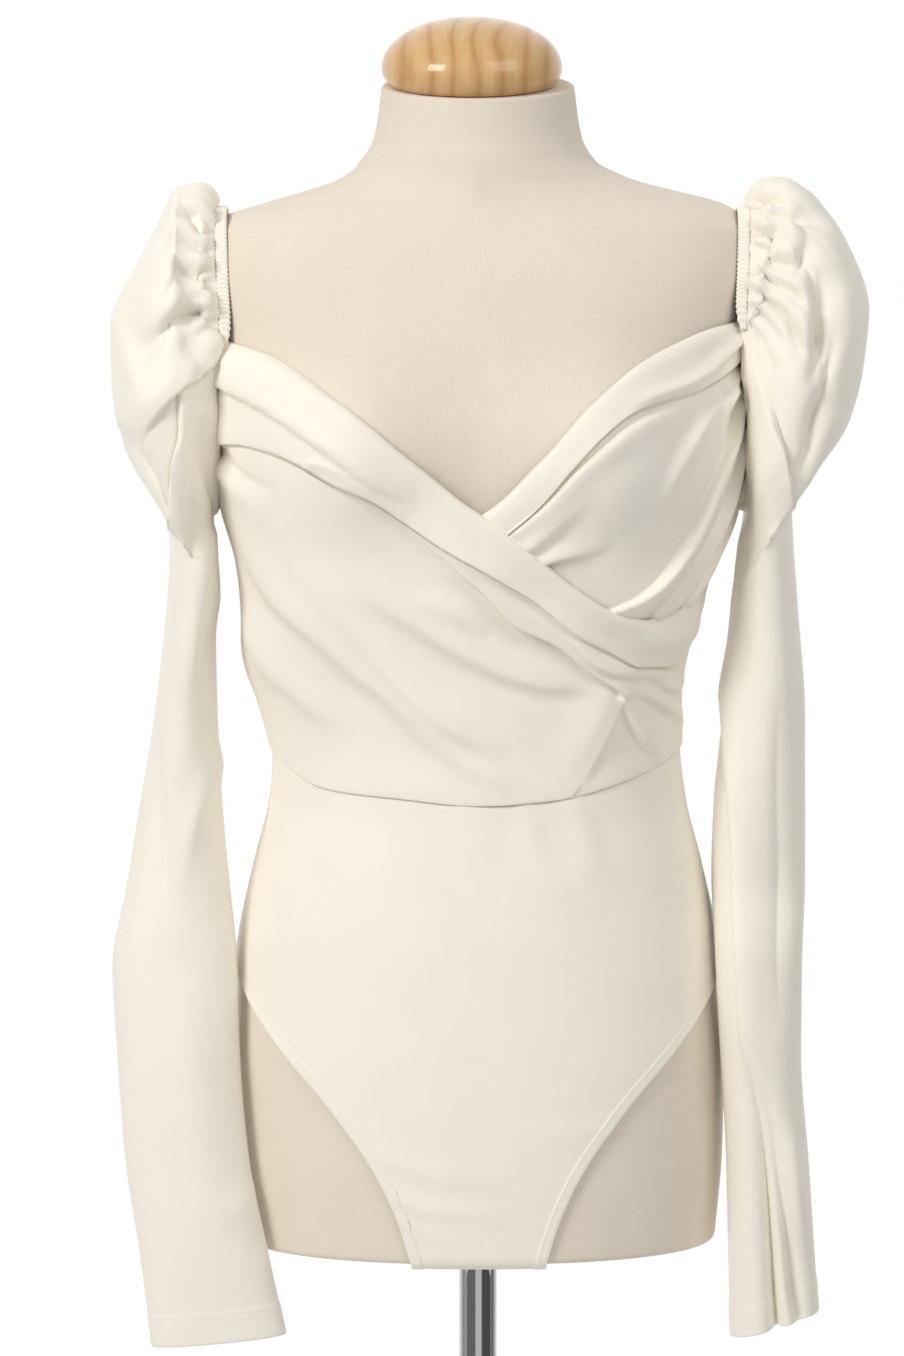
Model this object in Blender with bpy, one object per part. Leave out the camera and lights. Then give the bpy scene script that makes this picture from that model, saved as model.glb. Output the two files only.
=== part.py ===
"""A wrap bodysuit with puffed sleeves, worn by a limbless dress form on a chrome stand.

Metres, +Z up. The front faces -Y, so the wearer's right side is at -X. The origin is the centre
of the underside of the stand's base. Angles run round the form in degrees: 0 is the centre front,
+90 the side at +X, -90 the side at -X and 180 the centre back.
"""

import math

import bpy
import numpy as np

# ---------------------------------------------------------------- driving sizes
CLOTH = 0.0012              # wall of the stretch jersey
SEAM_GAP = 0.0003           # between pieces that are sewn together
FORM_GAP = 0.0017           # from the form's cover to the layer of cloth next to it
LAYER_GAP = 0.0014          # between the two wrapped layers of the front
METRES_PER_DEGREE = 0.0026  # mean width of one degree on the body, for measuring along panels
SIDE_GAP = SEAM_GAP / METRES_PER_DEGREE / 2  # degrees from the side seam to each panel's edge

UNDER_LAYER = FORM_GAP
OVER_LAYER = FORM_GAP + CLOTH + LAYER_GAP

HEM_HEIGHT = 0.740          # underside of the form
HEM_ROUND = 0.004
NECK_RIM = 1.497            # height of the neck rim at its sides
NECK_TILT = 0.25            # rise of the rim for each metre back: the rim leans forward
TILT_FROM, TILT_TO = 1.440, 1.490
RIM_ROUND, RIM_RISE = 0.96, 0.0015  # the rounded top edge of the neck
FORM_COLUMNS, FORM_ROW = 44, 0.024

BUST_OUT = 0.088            # each bust point from the centre line
BUST_HEIGHT = 1.245
BUST_LIFT = 0.029
BUST_SPREAD = 0.052
BUST_BELOW, BUST_ABOVE = 0.045, 0.062

POLE_RADIUS = 0.0130
SOCKET_DEPTH = 0.060
BASE_RADIUS = 0.170
BASE_EDGE = 0.008
BOSS_RADIUS = 0.028
BOSS_HEIGHT = 0.032
BASE_ROUND = 0.002
BOSS_FLARE = 0.004
POLE_SEAT = 0.012
ROUND_SIDES = 48

CAP_RADIUS = 0.059
CAP_FOOT = 0.055
CAP_BULGE = 0.011
CAP_HEIGHT = 0.043
CAP_SHIFT = -0.004
CAP_LOW = 0.005             # height of the round under its widest part
CAP_SQUARE = 0.8            # below 1, the dome is fuller than a half ellipse
CAP_STEPS, CAP_SIDES = 9, 36

CORNER_RIGHT, CORNER_LEFT, CORNER_BACK = 1.330, 1.343, 1.338  # neckline corners at the armholes
CORNER_BLEND = 0.030        # this far below them a sleeve's seam leaves the bodice for the elastic
ARMHOLE_CLEAR = 0.0007      # from the armhole's faceted edge to the sleeve's own
UNDERARM = 1.222
ARCH_TOP = 1.417            # inner face of the shoulder elastic at its top
ARCH_BASE = 1.330
ARCH_FRONT, ARCH_BACK = 0.0435, 0.0460  # half depths of its arch
ELASTIC_LOW, ELASTIC_HIGH = 0.1590, 0.1643  # inner edge of the elastic at its foot and at its top
ELASTIC_WIDE, ELASTIC_THICK = 0.0078, 0.0024
ELASTIC_LEFT_OUT = 0.0045   # the foot of the elastic at +X lies this much further out
ELASTIC_CLEAR = 0.0010      # its ends stand this far above the neckline corners
ELASTIC_STATIONS = 13

SIDE_TOP = 0.932            # top of the leg opening, on the side seam
CROTCH_REACH = 0.052        # how far each crotch end runs under the form
CROTCH_NARROW = 0.80        # its width there, as a share of its width at the hem
SNAP_RADIUS, SNAP_THICK, SNAP_PITCH = 0.0045, 0.0020, 0.016
SNAP_FACE = 0.6             # radius of a stud's flat face, as a share
SNAP_INSET = 0.012          # from a stud's centre to the crotch end's edge
SNAP_SIDES = 12

COLUMNS = 24                # columns of every panel between the side seams
ARMHOLE_ROWS, SIDE_ROWS = 6, 6  # rows of a bodice panel beside the armhole and beside the side seam
ARMHOLE_CROWD = 1.3         # above 1, the armhole's rows crowd towards the underarm
BRIEF_ROWS = 6              # rows of a brief panel above its leg opening
BRIEF_LEVELS = (0.744, 0.765, 0.790, 0.820, 0.848, 0.874, 0.895, 0.911, 0.923)  # and beside it
SLEEVE_COLUMNS = 20
SLEEVE_RINGS = 16

# Sections of the form: height, half width, depth in front, depth behind, squareness.
FORM_SECTIONS = (
    (0.740, 0.157, 0.108, 0.111, 2.20),
    (0.800, 0.162, 0.110, 0.117, 2.25),
    (0.860, 0.163, 0.108, 0.120, 2.25),
    (0.900, 0.160, 0.105, 0.118, 2.20),
    (0.940, 0.155, 0.101, 0.112, 2.20),
    (0.990, 0.144, 0.095, 0.100, 2.15),
    (1.030, 0.134, 0.090, 0.088, 2.10),
    (1.065, 0.130, 0.088, 0.080, 2.10),
    (1.100, 0.1292, 0.090, 0.081, 2.15),
    (1.140, 0.1363, 0.094, 0.087, 2.20),
    (1.190, 0.1515, 0.098, 0.093, 2.30),
    (1.225, 0.164, 0.098, 0.096, 2.35),
    (1.260, 0.169, 0.098, 0.098, 2.35),
    (1.320, 0.172, 0.091, 0.098, 2.35),
    (1.370, 0.173, 0.080, 0.093, 2.10),
    (1.400, 0.172, 0.070, 0.087, 1.80),
    (1.414, 0.166, 0.065, 0.082, 1.60),
    (1.422, 0.152, 0.063, 0.079, 1.50),
    (1.429, 0.126, 0.062, 0.076, 1.50),
    (1.437, 0.097, 0.061, 0.072, 1.65),
    (1.448, 0.078, 0.060, 0.067, 1.85),
    (1.465, 0.068, 0.058, 0.062, 2.00),
    (1.497, 0.063, 0.057, 0.058, 2.00),
)

# Where the cloth stands off the form: angle, height, spread in degrees, spread in height, lift.
EASE = (
    (3, 1.215, 14, 0.045, 0.010),
    (-34, 1.170, 22, 0.036, 0.008),
    (34, 1.170, 22, 0.034, 0.006),
    (-84, 1.118, 34, 0.042, 0.012),
    (-84, 1.145, 32, 0.050, 0.006),
)

# Seams and edges: angle, height.
WAIST_SEAM = (
    (-90, 1.0695), (-69, 1.0565), (-46, 1.0415), (-20, 1.0365), (0, 1.0325),
    (20, 1.0357), (45, 1.0475), (62, 1.0570), (90, 1.0710),
)
WAIST_BACK = ((90, 1.0710), (135, 1.0760), (180, 1.0780), (225, 1.0760), (270, 1.0695))
OVER_NECK = (
    (-67, 1.330), (-47, 1.319), (-27, 1.289), (-11.5, 1.252), (1, 1.218), (13, 1.190),
    (21.5, 1.1735), (33, 1.1585), (46, 1.152), (64, 1.1595), (90, 1.180),
)
OVER_FOLD = (
    (-68.5, 1.305), (-47.5, 1.288), (-27, 1.257), (-18, 1.234), (-9, 1.2065), (5, 1.1765),
    (23, 1.1445), (33.5, 1.131), (47, 1.116), (64, 1.1135), (90, 1.124),
)
UNDER_NECK = (
    (-90, 1.176), (-64, 1.157), (-33, 1.158), (-13, 1.189), (1, 1.2205), (11, 1.253),
    (20, 1.285), (34, 1.316), (57, 1.338), (71.6, 1.343),
)
BACK_NECK = (
    (110, 1.338), (125, 1.318), (150, 1.296), (180, 1.290), (210, 1.296), (235, 1.318),
    (250, 1.338),
)
# The armhole of each side: height, angle of its front edge, angle of its back edge.
ARMHOLE_RIGHT = (
    (1.222, 90, 90), (1.230, 85.5, 95), (1.245, 81, 99), (1.270, 76.5, 103), (1.305, 68.5, 107),
    (1.330, 67, 109.5), (1.338, 67, 110),
)
ARMHOLE_LEFT = (
    (1.222, 90, 90), (1.230, 85.5, 95), (1.245, 81, 99), (1.270, 77.5, 103), (1.305, 73, 107),
    (1.338, 71.6, 110), (1.343, 71.6, 110),
)
# The leg opening: height, half angle of the front, half angle of the back from its centre.
LEG_OPENING = (
    (0.742, 13.7, 15), (0.765, 15.8, 21), (0.787, 18.8, 28), (0.807, 23, 34.5), (0.828, 29, 41),
    (0.849, 36.5, 47), (0.870, 46.5, 53), (0.893, 59.5, 61), (0.910, 71, 70), (0.923, 81, 80),
    (0.932, 90, 90),
)

# The largest folds of the over layer, then of the under layer, each through three places:
# angle, height, angle, height, angle, height, half width, lift.
OVER_FOLDS = (
    (-66, 1.262, -42, 1.257, -14, 1.216, 0.012, 0.0030),
    (-48, 1.170, -16, 1.110, 6, 1.060, 0.016, 0.0022),
    (4, 1.165, 22, 1.122, 34, 1.098, 0.014, 0.0030),
    (30, 1.100, 40, 1.075, 46, 1.056, 0.016, 0.0026),
)
UNDER_FOLDS = (
    (9, 1.240, 21, 1.268, 50, 1.315, 0.010, 0.0030),
    (12, 1.222, 25, 1.262, 44, 1.292, 0.009, 0.0024),
    (58, 1.185, 66, 1.240, 71, 1.315, 0.011, 0.0030),
    (44, 1.180, 56, 1.240, 68, 1.300, 0.011, 0.0024),
)
# The soft neckline band of the over layer: share of the way from its edge to its fold, lift.
BAND_SECTION = ((0.0, -0.0020), (0.12, 0.0034), (0.85, 0.0034), (1.0, 0.0026), (1.05, 0.0))
BAND_ROWS = (0.0, 0.12, 0.85, 1.0)
BELOW_BAND = 0.0015         # the panel starts this far below the band's fold
UNDER_FROM = -8             # angle from which the over layer's edge lies on the under layer
FOLD_FADE = 0.025           # under-layer folds die out this close to the wrap edge
FOLD_STATIONS = 9

# Sleeve sections, from the armhole to the cuff. Each ring joins an outer and an under point:
# outer x, outer height, under x, under height, forward shift, half depth, squareness.
SLEEVE_RIGHT = (
    (0.1810, 1.4300, 0.1775, 1.2200, 0.000, 0.050, 2.1),
    (0.1970, 1.4315, 0.1788, 1.2175, 0.002, 0.062, 2.2),
    (0.2110, 1.4130, 0.1797, 1.2140, 0.003, 0.068, 2.2),
    (0.2300, 1.3780, 0.1802, 1.2090, 0.004, 0.070, 2.2),
    (0.2410, 1.3420, 0.1797, 1.2030, 0.004, 0.067, 2.2),
    (0.2400, 1.3050, 0.1787, 1.1960, 0.004, 0.063, 2.2),
    (0.2340, 1.2660, 0.1777, 1.1870, 0.003, 0.060, 2.2),
    (0.2180, 1.2340, 0.1767, 1.1760, 0.002, 0.057, 2.2),
    (0.2010, 1.2110, 0.1757, 1.1630, 0.002, 0.054, 2.2),
    (0.2036, 1.1680, 0.1740, 1.1350, 0.002, 0.051, 2.2),
    (0.2110, 1.1000, 0.1715, 1.0850, 0.004, 0.047, 2.1),
    (0.2220, 1.0300, 0.1675, 1.0200, 0.012, 0.042, 2.1),
    (0.2300, 0.9750, 0.1620, 0.9700, 0.025, 0.035, 2.1),
    (0.2385, 0.9250, 0.1570, 0.9250, 0.038, 0.029, 2.1),
    (0.2345, 0.8680, 0.1548, 0.8680, 0.051, 0.025, 2.1),
    (0.2285, 0.8000, 0.1487, 0.8030, 0.062, 0.021, 2.1),
    (0.2195, 0.7450, 0.1372, 0.7480, 0.070, 0.018, 2.1),
    (0.2110, 0.6820, 0.1245, 0.6900, 0.0735, 0.0155, 2.2),
)
SLEEVE_LEFT = (
    (0.1820, 1.4310, 0.1775, 1.2200, 0.000, 0.050, 2.1),
    (0.1990, 1.4380, 0.1788, 1.2175, 0.002, 0.062, 2.2),
    (0.2155, 1.4300, 0.1795, 1.2140, 0.003, 0.068, 2.2),
    (0.2400, 1.3980, 0.1795, 1.2090, 0.004, 0.071, 2.2),
    (0.2560, 1.3520, 0.1785, 1.2030, 0.004, 0.069, 2.2),
    (0.2530, 1.3150, 0.1775, 1.1960, 0.004, 0.065, 2.2),
    (0.2440, 1.2800, 0.1765, 1.1870, 0.003, 0.061, 2.2),
    (0.2230, 1.2440, 0.1755, 1.1760, 0.002, 0.057, 2.2),
    (0.2056, 1.2210, 0.1735, 1.1650, 0.002, 0.054, 2.2),
    (0.2100, 1.1600, 0.1695, 1.1350, 0.002, 0.051, 2.2),
    (0.2155, 1.0850, 0.1610, 1.0800, 0.004, 0.047, 2.1),
    (0.2155, 1.0300, 0.1552, 1.0250, 0.010, 0.042, 2.1),
    (0.2150, 0.9800, 0.1535, 0.9780, 0.018, 0.038, 2.1),
    (0.2110, 0.9300, 0.1545, 0.9280, 0.044, 0.031, 2.1),
    (0.2100, 0.8680, 0.1575, 0.8680, 0.048, 0.032, 2.1),
    (0.2150, 0.8000, 0.1615, 0.8000, 0.048, 0.031, 2.1),
    (0.2190, 0.7450, 0.1632, 0.7430, 0.046, 0.030, 2.1),
    (0.2225, 0.7000, 0.1650, 0.6830, 0.044, 0.029, 2.2),
)
HEAD_RISE, HEAD_OUT = 0.050, 0.010  # how sharply a head swells up and out beside its elastic
HEAD_BLEND = 0.025
HEAD_STEPS = (0.0, 0.14, 0.34, 0.6)  # loops of the swelling, as shares of the way to section 1
PUFF_LOBES = 5              # soft lobes round the sleeve head
PUFF_LOBE_LIFT = 0.035      # as a share of the ring's size
PUFF_LOBE_TURN = 0.6        # radians from the ring's outer point to the first lobe
PUFF_MIDDLE, PUFF_REACH = 2.5, 2.2  # section where they are largest, and over how many they fade

CLOTH_COLOUR = (0.90, 0.86, 0.74)
COVER_COLOUR = (0.82, 0.75, 0.63)
WOOD_COLOUR = (0.74, 0.50, 0.25)
CHROME_COLOUR = (0.80, 0.80, 0.82)
SNAP_COLOUR = (0.86, 0.84, 0.78)


# ---------------------------------------------------------------- reading the tables
def smooth_column(rows, column, at):
    """The value of a table's column at a place in its first column, on a smooth monotone curve."""
    knots = np.array([row[0] for row in rows], dtype=float)
    values = np.array([row[column] for row in rows], dtype=float)
    steps = np.diff(knots)
    rises = np.diff(values) / steps
    slopes = np.concatenate(([rises[0]], np.zeros(len(knots) - 2), [rises[-1]]))
    same_way = rises[:-1] * rises[1:] > 0
    safe = np.where(same_way, rises[:-1] * rises[1:], 1.0)
    mean = 3 * (steps[:-1] + steps[1:]) * safe
    weighted = (2 * steps[1:] + steps[:-1]) * rises[1:] + (steps[1:] + 2 * steps[:-1]) * rises[:-1]
    slopes[1:-1] = np.where(same_way, mean / np.where(same_way, weighted, 1.0), 0.0)
    at = np.asarray(at, dtype=float)
    place = np.clip(np.searchsorted(knots, at) - 1, 0, len(steps) - 1)
    step = steps[place]
    t = np.clip((at - knots[place]) / step, 0, 1)
    rise = t * t * (3 - 2 * t)
    lead = t * (1 - t) ** 2 * step
    trail = t * t * (t - 1) * step
    return values[place] * (1 - rise) + values[place + 1] * rise \
        + slopes[place] * lead + slopes[place + 1] * trail


def ease_in_out(value, low, high):
    """0 below low, 1 above high, and smooth between them."""
    t = np.clip((np.asarray(value, dtype=float) - low) / (high - low), 0, 1)
    return t * t * (3 - 2 * t)


def along(points, count):
    """Evenly spaced (angle, height) pairs on a smooth curve through the points."""
    points = np.array(points, dtype=float)
    hops = np.diff(points, axis=0) * (METRES_PER_DEGREE, 1.0)
    travelled = np.concatenate(([0.0], np.cumsum(np.linalg.norm(hops, axis=1))))
    rows = [(far, angle, height) for far, (angle, height) in zip(travelled, points)]
    places = np.linspace(0, travelled[-1], count)
    return np.stack([smooth_column(rows, 1, places), smooth_column(rows, 2, places)], axis=-1)


# ---------------------------------------------------------------- the form's surface
def form_point(angle, height):
    """Points of the form's smooth cover."""
    turn = np.radians(angle)
    sine, cosine = np.sin(turn), np.cos(turn)
    half = smooth_column(FORM_SECTIONS, 1, height)
    depth = np.where(
        cosine > 0,
        smooth_column(FORM_SECTIONS, 2, height),
        smooth_column(FORM_SECTIONS, 3, height),
    )
    power = 2 / smooth_column(FORM_SECTIONS, 4, height)
    x = half * np.sign(sine) * np.abs(sine) ** power
    y = -depth * np.sign(cosine) * np.abs(cosine) ** power
    spread = np.where(height < BUST_HEIGHT, BUST_BELOW, BUST_ABOVE)
    across = (np.abs(x) - BUST_OUT) / BUST_SPREAD
    bust = BUST_LIFT * np.exp(-across**2 - ((height - BUST_HEIGHT) / spread) ** 2)
    y = y - bust * np.sqrt(np.clip(cosine, 0, 1))
    z = height + NECK_TILT * y * ease_in_out(height, TILT_FROM, TILT_TO)
    return np.stack([x, y, z], axis=-1)


def form_normal(angle, height):
    """Outward normals of the form's cover."""
    across = form_point(angle + 0.5, height) - form_point(angle - 0.5, height)
    upward = form_point(angle, height + 0.001) - form_point(angle, height - 0.001)
    normal = np.cross(across, upward)
    return normal / np.linalg.norm(normal, axis=-1, keepdims=True)


def ease(angle, height):
    """How far the worn cloth stands off the form beyond its layer's own gap."""
    total = np.zeros(np.shape(angle))
    for at_angle, at_height, angle_spread, height_spread, lift in EASE:
        off = (np.asarray(angle) - at_angle + 180) % 360 - 180
        total += lift * np.exp(-(off / angle_spread) ** 2 - ((height - at_height) / height_spread) ** 2)
    return total


def cloth_point(angle, height, offset):
    """Points of the cloth, offset outwards from the form's cover."""
    angle, height = np.asarray(angle, dtype=float), np.asarray(height, dtype=float)
    reach = (offset + ease(angle, height))[..., None]
    return form_point(angle, height) + form_normal(angle, height) * reach


# ---------------------------------------------------------------- meshes
def material(name, colour, roughness, metallic=0.0):
    made = bpy.data.materials.new(name)
    made.use_nodes = True
    shader = made.node_tree.nodes["Principled BSDF"]
    shader.inputs["Base Color"].default_value = (*colour, 1.0)
    shader.inputs["Roughness"].default_value = roughness
    shader.inputs["Metallic"].default_value = metallic
    return made


def add_object(name, points, faces, finish):
    """One named object from points and faces, its faces turned outwards."""
    mesh = bpy.data.meshes.new(name)
    mesh.from_pydata([tuple(map(float, point)) for point in points], [], faces)
    mesh.update()
    volume = 0.0
    for polygon in mesh.polygons:
        corners = [mesh.vertices[index].co for index in polygon.vertices]
        for second, third in zip(corners[1:], corners[2:]):
            volume += corners[0].dot(second.cross(third))
    if volume < 0:
        mesh.flip_normals()
    mesh.materials.append(finish)
    mesh.shade_smooth()
    made = bpy.data.objects.new(name, mesh)
    bpy.context.scene.collection.objects.link(made)
    return made


def wall(name, outer, inner, finish, tube=False):
    """A closed wall between two grids of points; a tube's columns join up round it."""
    rows, columns = outer.shape[:2]
    points = np.concatenate([outer.reshape(-1, 3), inner.reshape(-1, 3)])
    shift = rows * columns
    spans = columns if tube else columns - 1
    faces = []
    for row in range(rows - 1):
        for column in range(spans):
            here, beside = row * columns + column, row * columns + (column + 1) % columns
            below, across = here + columns, beside + columns
            faces.append((here, beside, across, below))
            faces.append((below + shift, across + shift, beside + shift, here + shift))
    for column in range(spans):
        here, beside = column, (column + 1) % columns
        faces.append((beside, here, here + shift, beside + shift))
        last = (rows - 1) * columns
        faces.append((last + here, last + beside, last + beside + shift, last + here + shift))
    if not tube:
        for row in range(rows - 1):
            here, below = row * columns, (row + 1) * columns
            faces.append((here, below, below + shift, here + shift))
            here, below = here + columns - 1, below + columns - 1
            faces.append((below, here, here + shift, below + shift))
    return add_object(name, points, faces, finish)


def turned(name, profile, finish, sides=ROUND_SIDES, centre=(0.0, 0.0)):
    """A solid of revolution; the profile's first and last points lie on the axis."""
    points = [(centre[0], centre[1], profile[0][1])]
    turns = np.linspace(0, 2 * math.pi, sides, endpoint=False)
    for radius, height in profile[1:-1]:
        points += [(centre[0] + radius * math.cos(turn), centre[1] + radius * math.sin(turn), height)
                   for turn in turns]
    points.append((centre[0], centre[1], profile[-1][1]))
    rings = len(profile) - 2
    faces = [(0, 1 + side, 1 + (side + 1) % sides) for side in range(sides)]
    for ring in range(rings - 1):
        start = 1 + ring * sides
        for side in range(sides):
            beside = (side + 1) % sides
            faces.append((start + side, start + sides + side, start + sides + beside, start + beside))
    start, last = 1 + (rings - 1) * sides, len(points) - 1
    faces += [(last, start + (side + 1) % sides, start + side) for side in range(sides)]
    return add_object(name, points, faces, finish)


# ---------------------------------------------------------------- the stand and the form
def build_stand(chrome):
    bore = POLE_RADIUS + SEAM_GAP
    base = (
        (0.0, 0.0), (BASE_RADIUS - BASE_ROUND / 2, 0.0), (BASE_RADIUS, BASE_ROUND / 2),
        (BASE_RADIUS, BASE_EDGE - BASE_ROUND), (BASE_RADIUS - BASE_ROUND, BASE_EDGE),
        (BOSS_RADIUS + BOSS_FLARE, BASE_EDGE + BOSS_FLARE), (BOSS_RADIUS, BASE_EDGE + 2 * BOSS_FLARE),
        (BOSS_RADIUS - BASE_ROUND, BOSS_HEIGHT), (bore, BOSS_HEIGHT), (bore, POLE_SEAT), (0.0, POLE_SEAT),
    )
    turned("stand_base", base, chrome)
    foot, head = POLE_SEAT + SEAM_GAP, HEM_HEIGHT + SOCKET_DEPTH - SEAM_GAP
    pole = ((0.0, foot), (POLE_RADIUS, foot), (POLE_RADIUS, head), (0.0, head))
    turned("stand_pole", pole, chrome)


def build_form(cover):
    """The torso: a loft through its sections, with a socket for the pole in its flat underside."""
    heights = [HEM_HEIGHT + HEM_ROUND]
    for (low, *_), (high, *_) in zip(FORM_SECTIONS, FORM_SECTIONS[1:]):
        parts = max(1, round((high - low) / FORM_ROW))
        heights += [low + (high - low) * part / parts for part in range(1, parts + 1)]
    angles = np.linspace(-180, 180, FORM_COLUMNS, endpoint=False)
    rings = [form_point(angles, np.full(FORM_COLUMNS, height)) for height in heights]
    lowest = np.full(FORM_COLUMNS, HEM_HEIGHT)
    inset = form_point(angles, lowest) - form_normal(angles, lowest) * (HEM_ROUND, HEM_ROUND, 0)
    turns = np.radians(angles)
    socket_radius = POLE_RADIUS + SEAM_GAP
    mouth = np.stack([socket_radius * np.sin(turns), -socket_radius * np.cos(turns),
                      np.full(FORM_COLUMNS, HEM_HEIGHT)], axis=-1)
    roof = mouth + (0, 0, SOCKET_DEPTH)
    rim = rings[-1] * RIM_ROUND
    rim[:, 2] = NECK_RIM + NECK_TILT * rim[:, 1] + RIM_RISE
    rings = [roof, mouth, inset] + rings + [rim]
    points = np.concatenate([[(0, 0, HEM_HEIGHT + SOCKET_DEPTH)], *rings, [rim.mean(axis=0)]])
    faces = [(0, 1 + (side + 1) % FORM_COLUMNS, 1 + side) for side in range(FORM_COLUMNS)]
    for ring in range(len(rings) - 1):
        start = 1 + ring * FORM_COLUMNS
        for side in range(FORM_COLUMNS):
            beside = (side + 1) % FORM_COLUMNS
            above = start + FORM_COLUMNS
            faces.append((start + side, start + beside, above + beside, above + side))
    start, last = 1 + (len(rings) - 1) * FORM_COLUMNS, len(points) - 1
    faces += [(last, start + side, start + (side + 1) % FORM_COLUMNS) for side in range(FORM_COLUMNS)]
    add_object("form_torso", points, faces, cover)


def build_neck_cap(wood):
    """A flattened wooden dome that sits on the leaning neck rim."""
    profile = [(0.0, 0.0), (CAP_FOOT, 0.0), ((CAP_FOOT + 3 * CAP_RADIUS) / 4, CAP_LOW)]
    for step in range(CAP_STEPS):
        turn = math.pi / 2 * step / CAP_STEPS
        radius = CAP_RADIUS * math.cos(turn) ** CAP_SQUARE
        profile.append((radius, CAP_BULGE + (CAP_HEIGHT - CAP_BULGE) * math.sin(turn)))
    profile.append((0.0, CAP_HEIGHT))
    cap = turned("neck_cap", profile, wood, sides=CAP_SIDES)
    cap.location = (CAP_SHIFT, 0.0, NECK_RIM + RIM_RISE + SEAM_GAP)
    cap.rotation_euler = (math.atan(NECK_TILT), 0.0, 0.0)


# ---------------------------------------------------------------- flat panels of the garment
def lattice(top, bottom, left, right):
    """(angle, height) of a grid that fills four edge curves: a Coons patch."""
    across = np.linspace(0, 1, len(top))[None, :, None]
    down = np.linspace(0, 1, len(left))[:, None, None]
    by_rows = (1 - down) * top[None] + down * bottom[None]
    by_columns = (1 - across) * left[:, None] + across * right[:, None]
    corners = (1 - down) * ((1 - across) * top[0] + across * top[-1]) \
        + down * ((1 - across) * bottom[0] + across * bottom[-1])
    return by_rows + by_columns - corners


def fold_lift(folds, angle, height):
    """Height of the soft folds, each a ridge along a smooth path that dies out at its ends."""
    total = np.zeros(np.shape(angle))
    place = np.stack([np.asarray(angle) * METRES_PER_DEGREE, height], axis=-1)
    for *path, half_width, lift in folds:
        route = along(np.reshape(path, (3, 2)), FOLD_STATIONS) * (METRES_PER_DEGREE, 1.0)
        best = np.full(np.shape(angle), np.inf)
        share = np.zeros(np.shape(angle))
        for index, (start, end) in enumerate(zip(route, route[1:])):
            span = end - start
            t = np.clip(((place - start) @ span) / (span @ span), 0, 1)
            away = np.linalg.norm(place - start - t[..., None] * span, axis=-1)
            share = np.where(away < best, (index + t) / (len(route) - 1), share)
            best = np.minimum(best, away)
        total += lift * np.exp(-(best / half_width) ** 2) * np.sqrt(np.sin(math.pi * share))
    return total


def over_lift(angle, height):
    """Relief of the over layer: its band, whose edge rolls in where no layer lies beneath it."""
    neck, fold = smooth_column(OVER_NECK, 1, angle), smooth_column(OVER_FOLD, 1, angle)
    share = (neck - height) / (neck - fold)
    band = smooth_column(BAND_SECTION, 1, share)
    band = np.where((band < 0) & (np.asarray(angle) > UNDER_FROM), 0.0, band)
    return band + np.where(share > BAND_SECTION[-1][0], fold_lift(OVER_FOLDS, angle, height), 0.0)


def under_lift(angle, height):
    """Relief of the under layer, which dies out towards the wrap edge that covers it."""
    above = height - smooth_column(OVER_NECK, 1, angle)
    return fold_lift(UNDER_FOLDS, angle, height) * ease_in_out(above, 0.0, FOLD_FADE)


def no_lift(angle, height):
    return np.zeros(np.shape(angle))


def armhole_edge(armhole, side, column, top_height, count):
    """The edge from a neckline corner down the armhole to the underarm point."""
    heights = UNDERARM + (top_height - UNDERARM) * np.linspace(1, 0, count) ** ARMHOLE_CROWD
    return np.stack([side * smooth_column(armhole, column, heights), heights], axis=-1)


def panel(name, grid, layer, finish, lift_at=no_lift):
    angle, height = grid[..., 0], grid[..., 1]
    lift = lift_at(angle, height)
    inner = cloth_point(angle, height, layer + lift)
    outer = cloth_point(angle, height, layer + lift + CLOTH)
    return wall(name, outer, inner, finish)


def waist_edge(shift):
    """The waist seam under the front panels, in their shared columns."""
    angles = np.linspace(-90, 90, COLUMNS)
    angles[0] += SIDE_GAP
    angles[-1] -= SIDE_GAP
    return np.stack([angles, smooth_column(WAIST_SEAM, 1, angles) + shift], axis=-1)


def back_waist(shift):
    """The waist seam under the back panel."""
    edge = along(WAIST_BACK, COLUMNS)
    edge[:, 1] += shift
    edge[0, 0] += SIDE_GAP
    edge[-1, 0] -= SIDE_GAP
    return edge


def side_seam(angle, high, low, count):
    return np.stack([np.full(count, float(angle)), np.linspace(high, low, count)], axis=-1)


def build_front_over(cloth):
    """The outer wrap: a soft band along the neckline, then the panel below it."""
    neck, fold = along(OVER_NECK, COLUMNS), along(OVER_FOLD, COLUMNS)
    waist = waist_edge(SEAM_GAP / 2)
    end = waist[-1, 0]
    neck[-1, 0] = fold[-1, 0] = end
    down = np.array(BAND_ROWS)[:, None, None]
    band = (1 - down) * neck[None] + down * fold[None]
    armhole = armhole_edge(ARMHOLE_RIGHT, -1, 1, OVER_FOLD[0][1], ARMHOLE_ROWS)
    armhole[-1, 0] = waist[0, 0]
    left = np.concatenate([armhole, side_seam(waist[0, 0], UNDERARM, waist[0, 1], SIDE_ROWS)[1:]])
    left[0] = fold[0]
    right = side_seam(end, fold[-1, 1], waist[-1, 1], len(left))
    body = lattice(fold, waist, left, right)
    body[0, :, 1] -= BELOW_BAND
    panel("bodice_front_over", np.concatenate([band, body]), OVER_LAYER, cloth, over_lift)


def build_front_under(cloth):
    """The inner wrap, which shows as the gathered cup at +X and runs on beneath the outer one."""
    neck = along(UNDER_NECK, COLUMNS)
    waist = waist_edge(SEAM_GAP / 2)
    neck[0, 0] = waist[0, 0]
    armhole = armhole_edge(ARMHOLE_LEFT, 1, 1, CORNER_LEFT, ARMHOLE_ROWS)
    armhole[-1, 0] = waist[-1, 0]
    right = np.concatenate([armhole, side_seam(waist[-1, 0], UNDERARM, waist[-1, 1], SIDE_ROWS)[1:]])
    left = side_seam(waist[0, 0], neck[0, 1], waist[0, 1], len(right))
    panel("bodice_front_under", lattice(neck, waist, left, right), UNDER_LAYER, cloth, under_lift)


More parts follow.
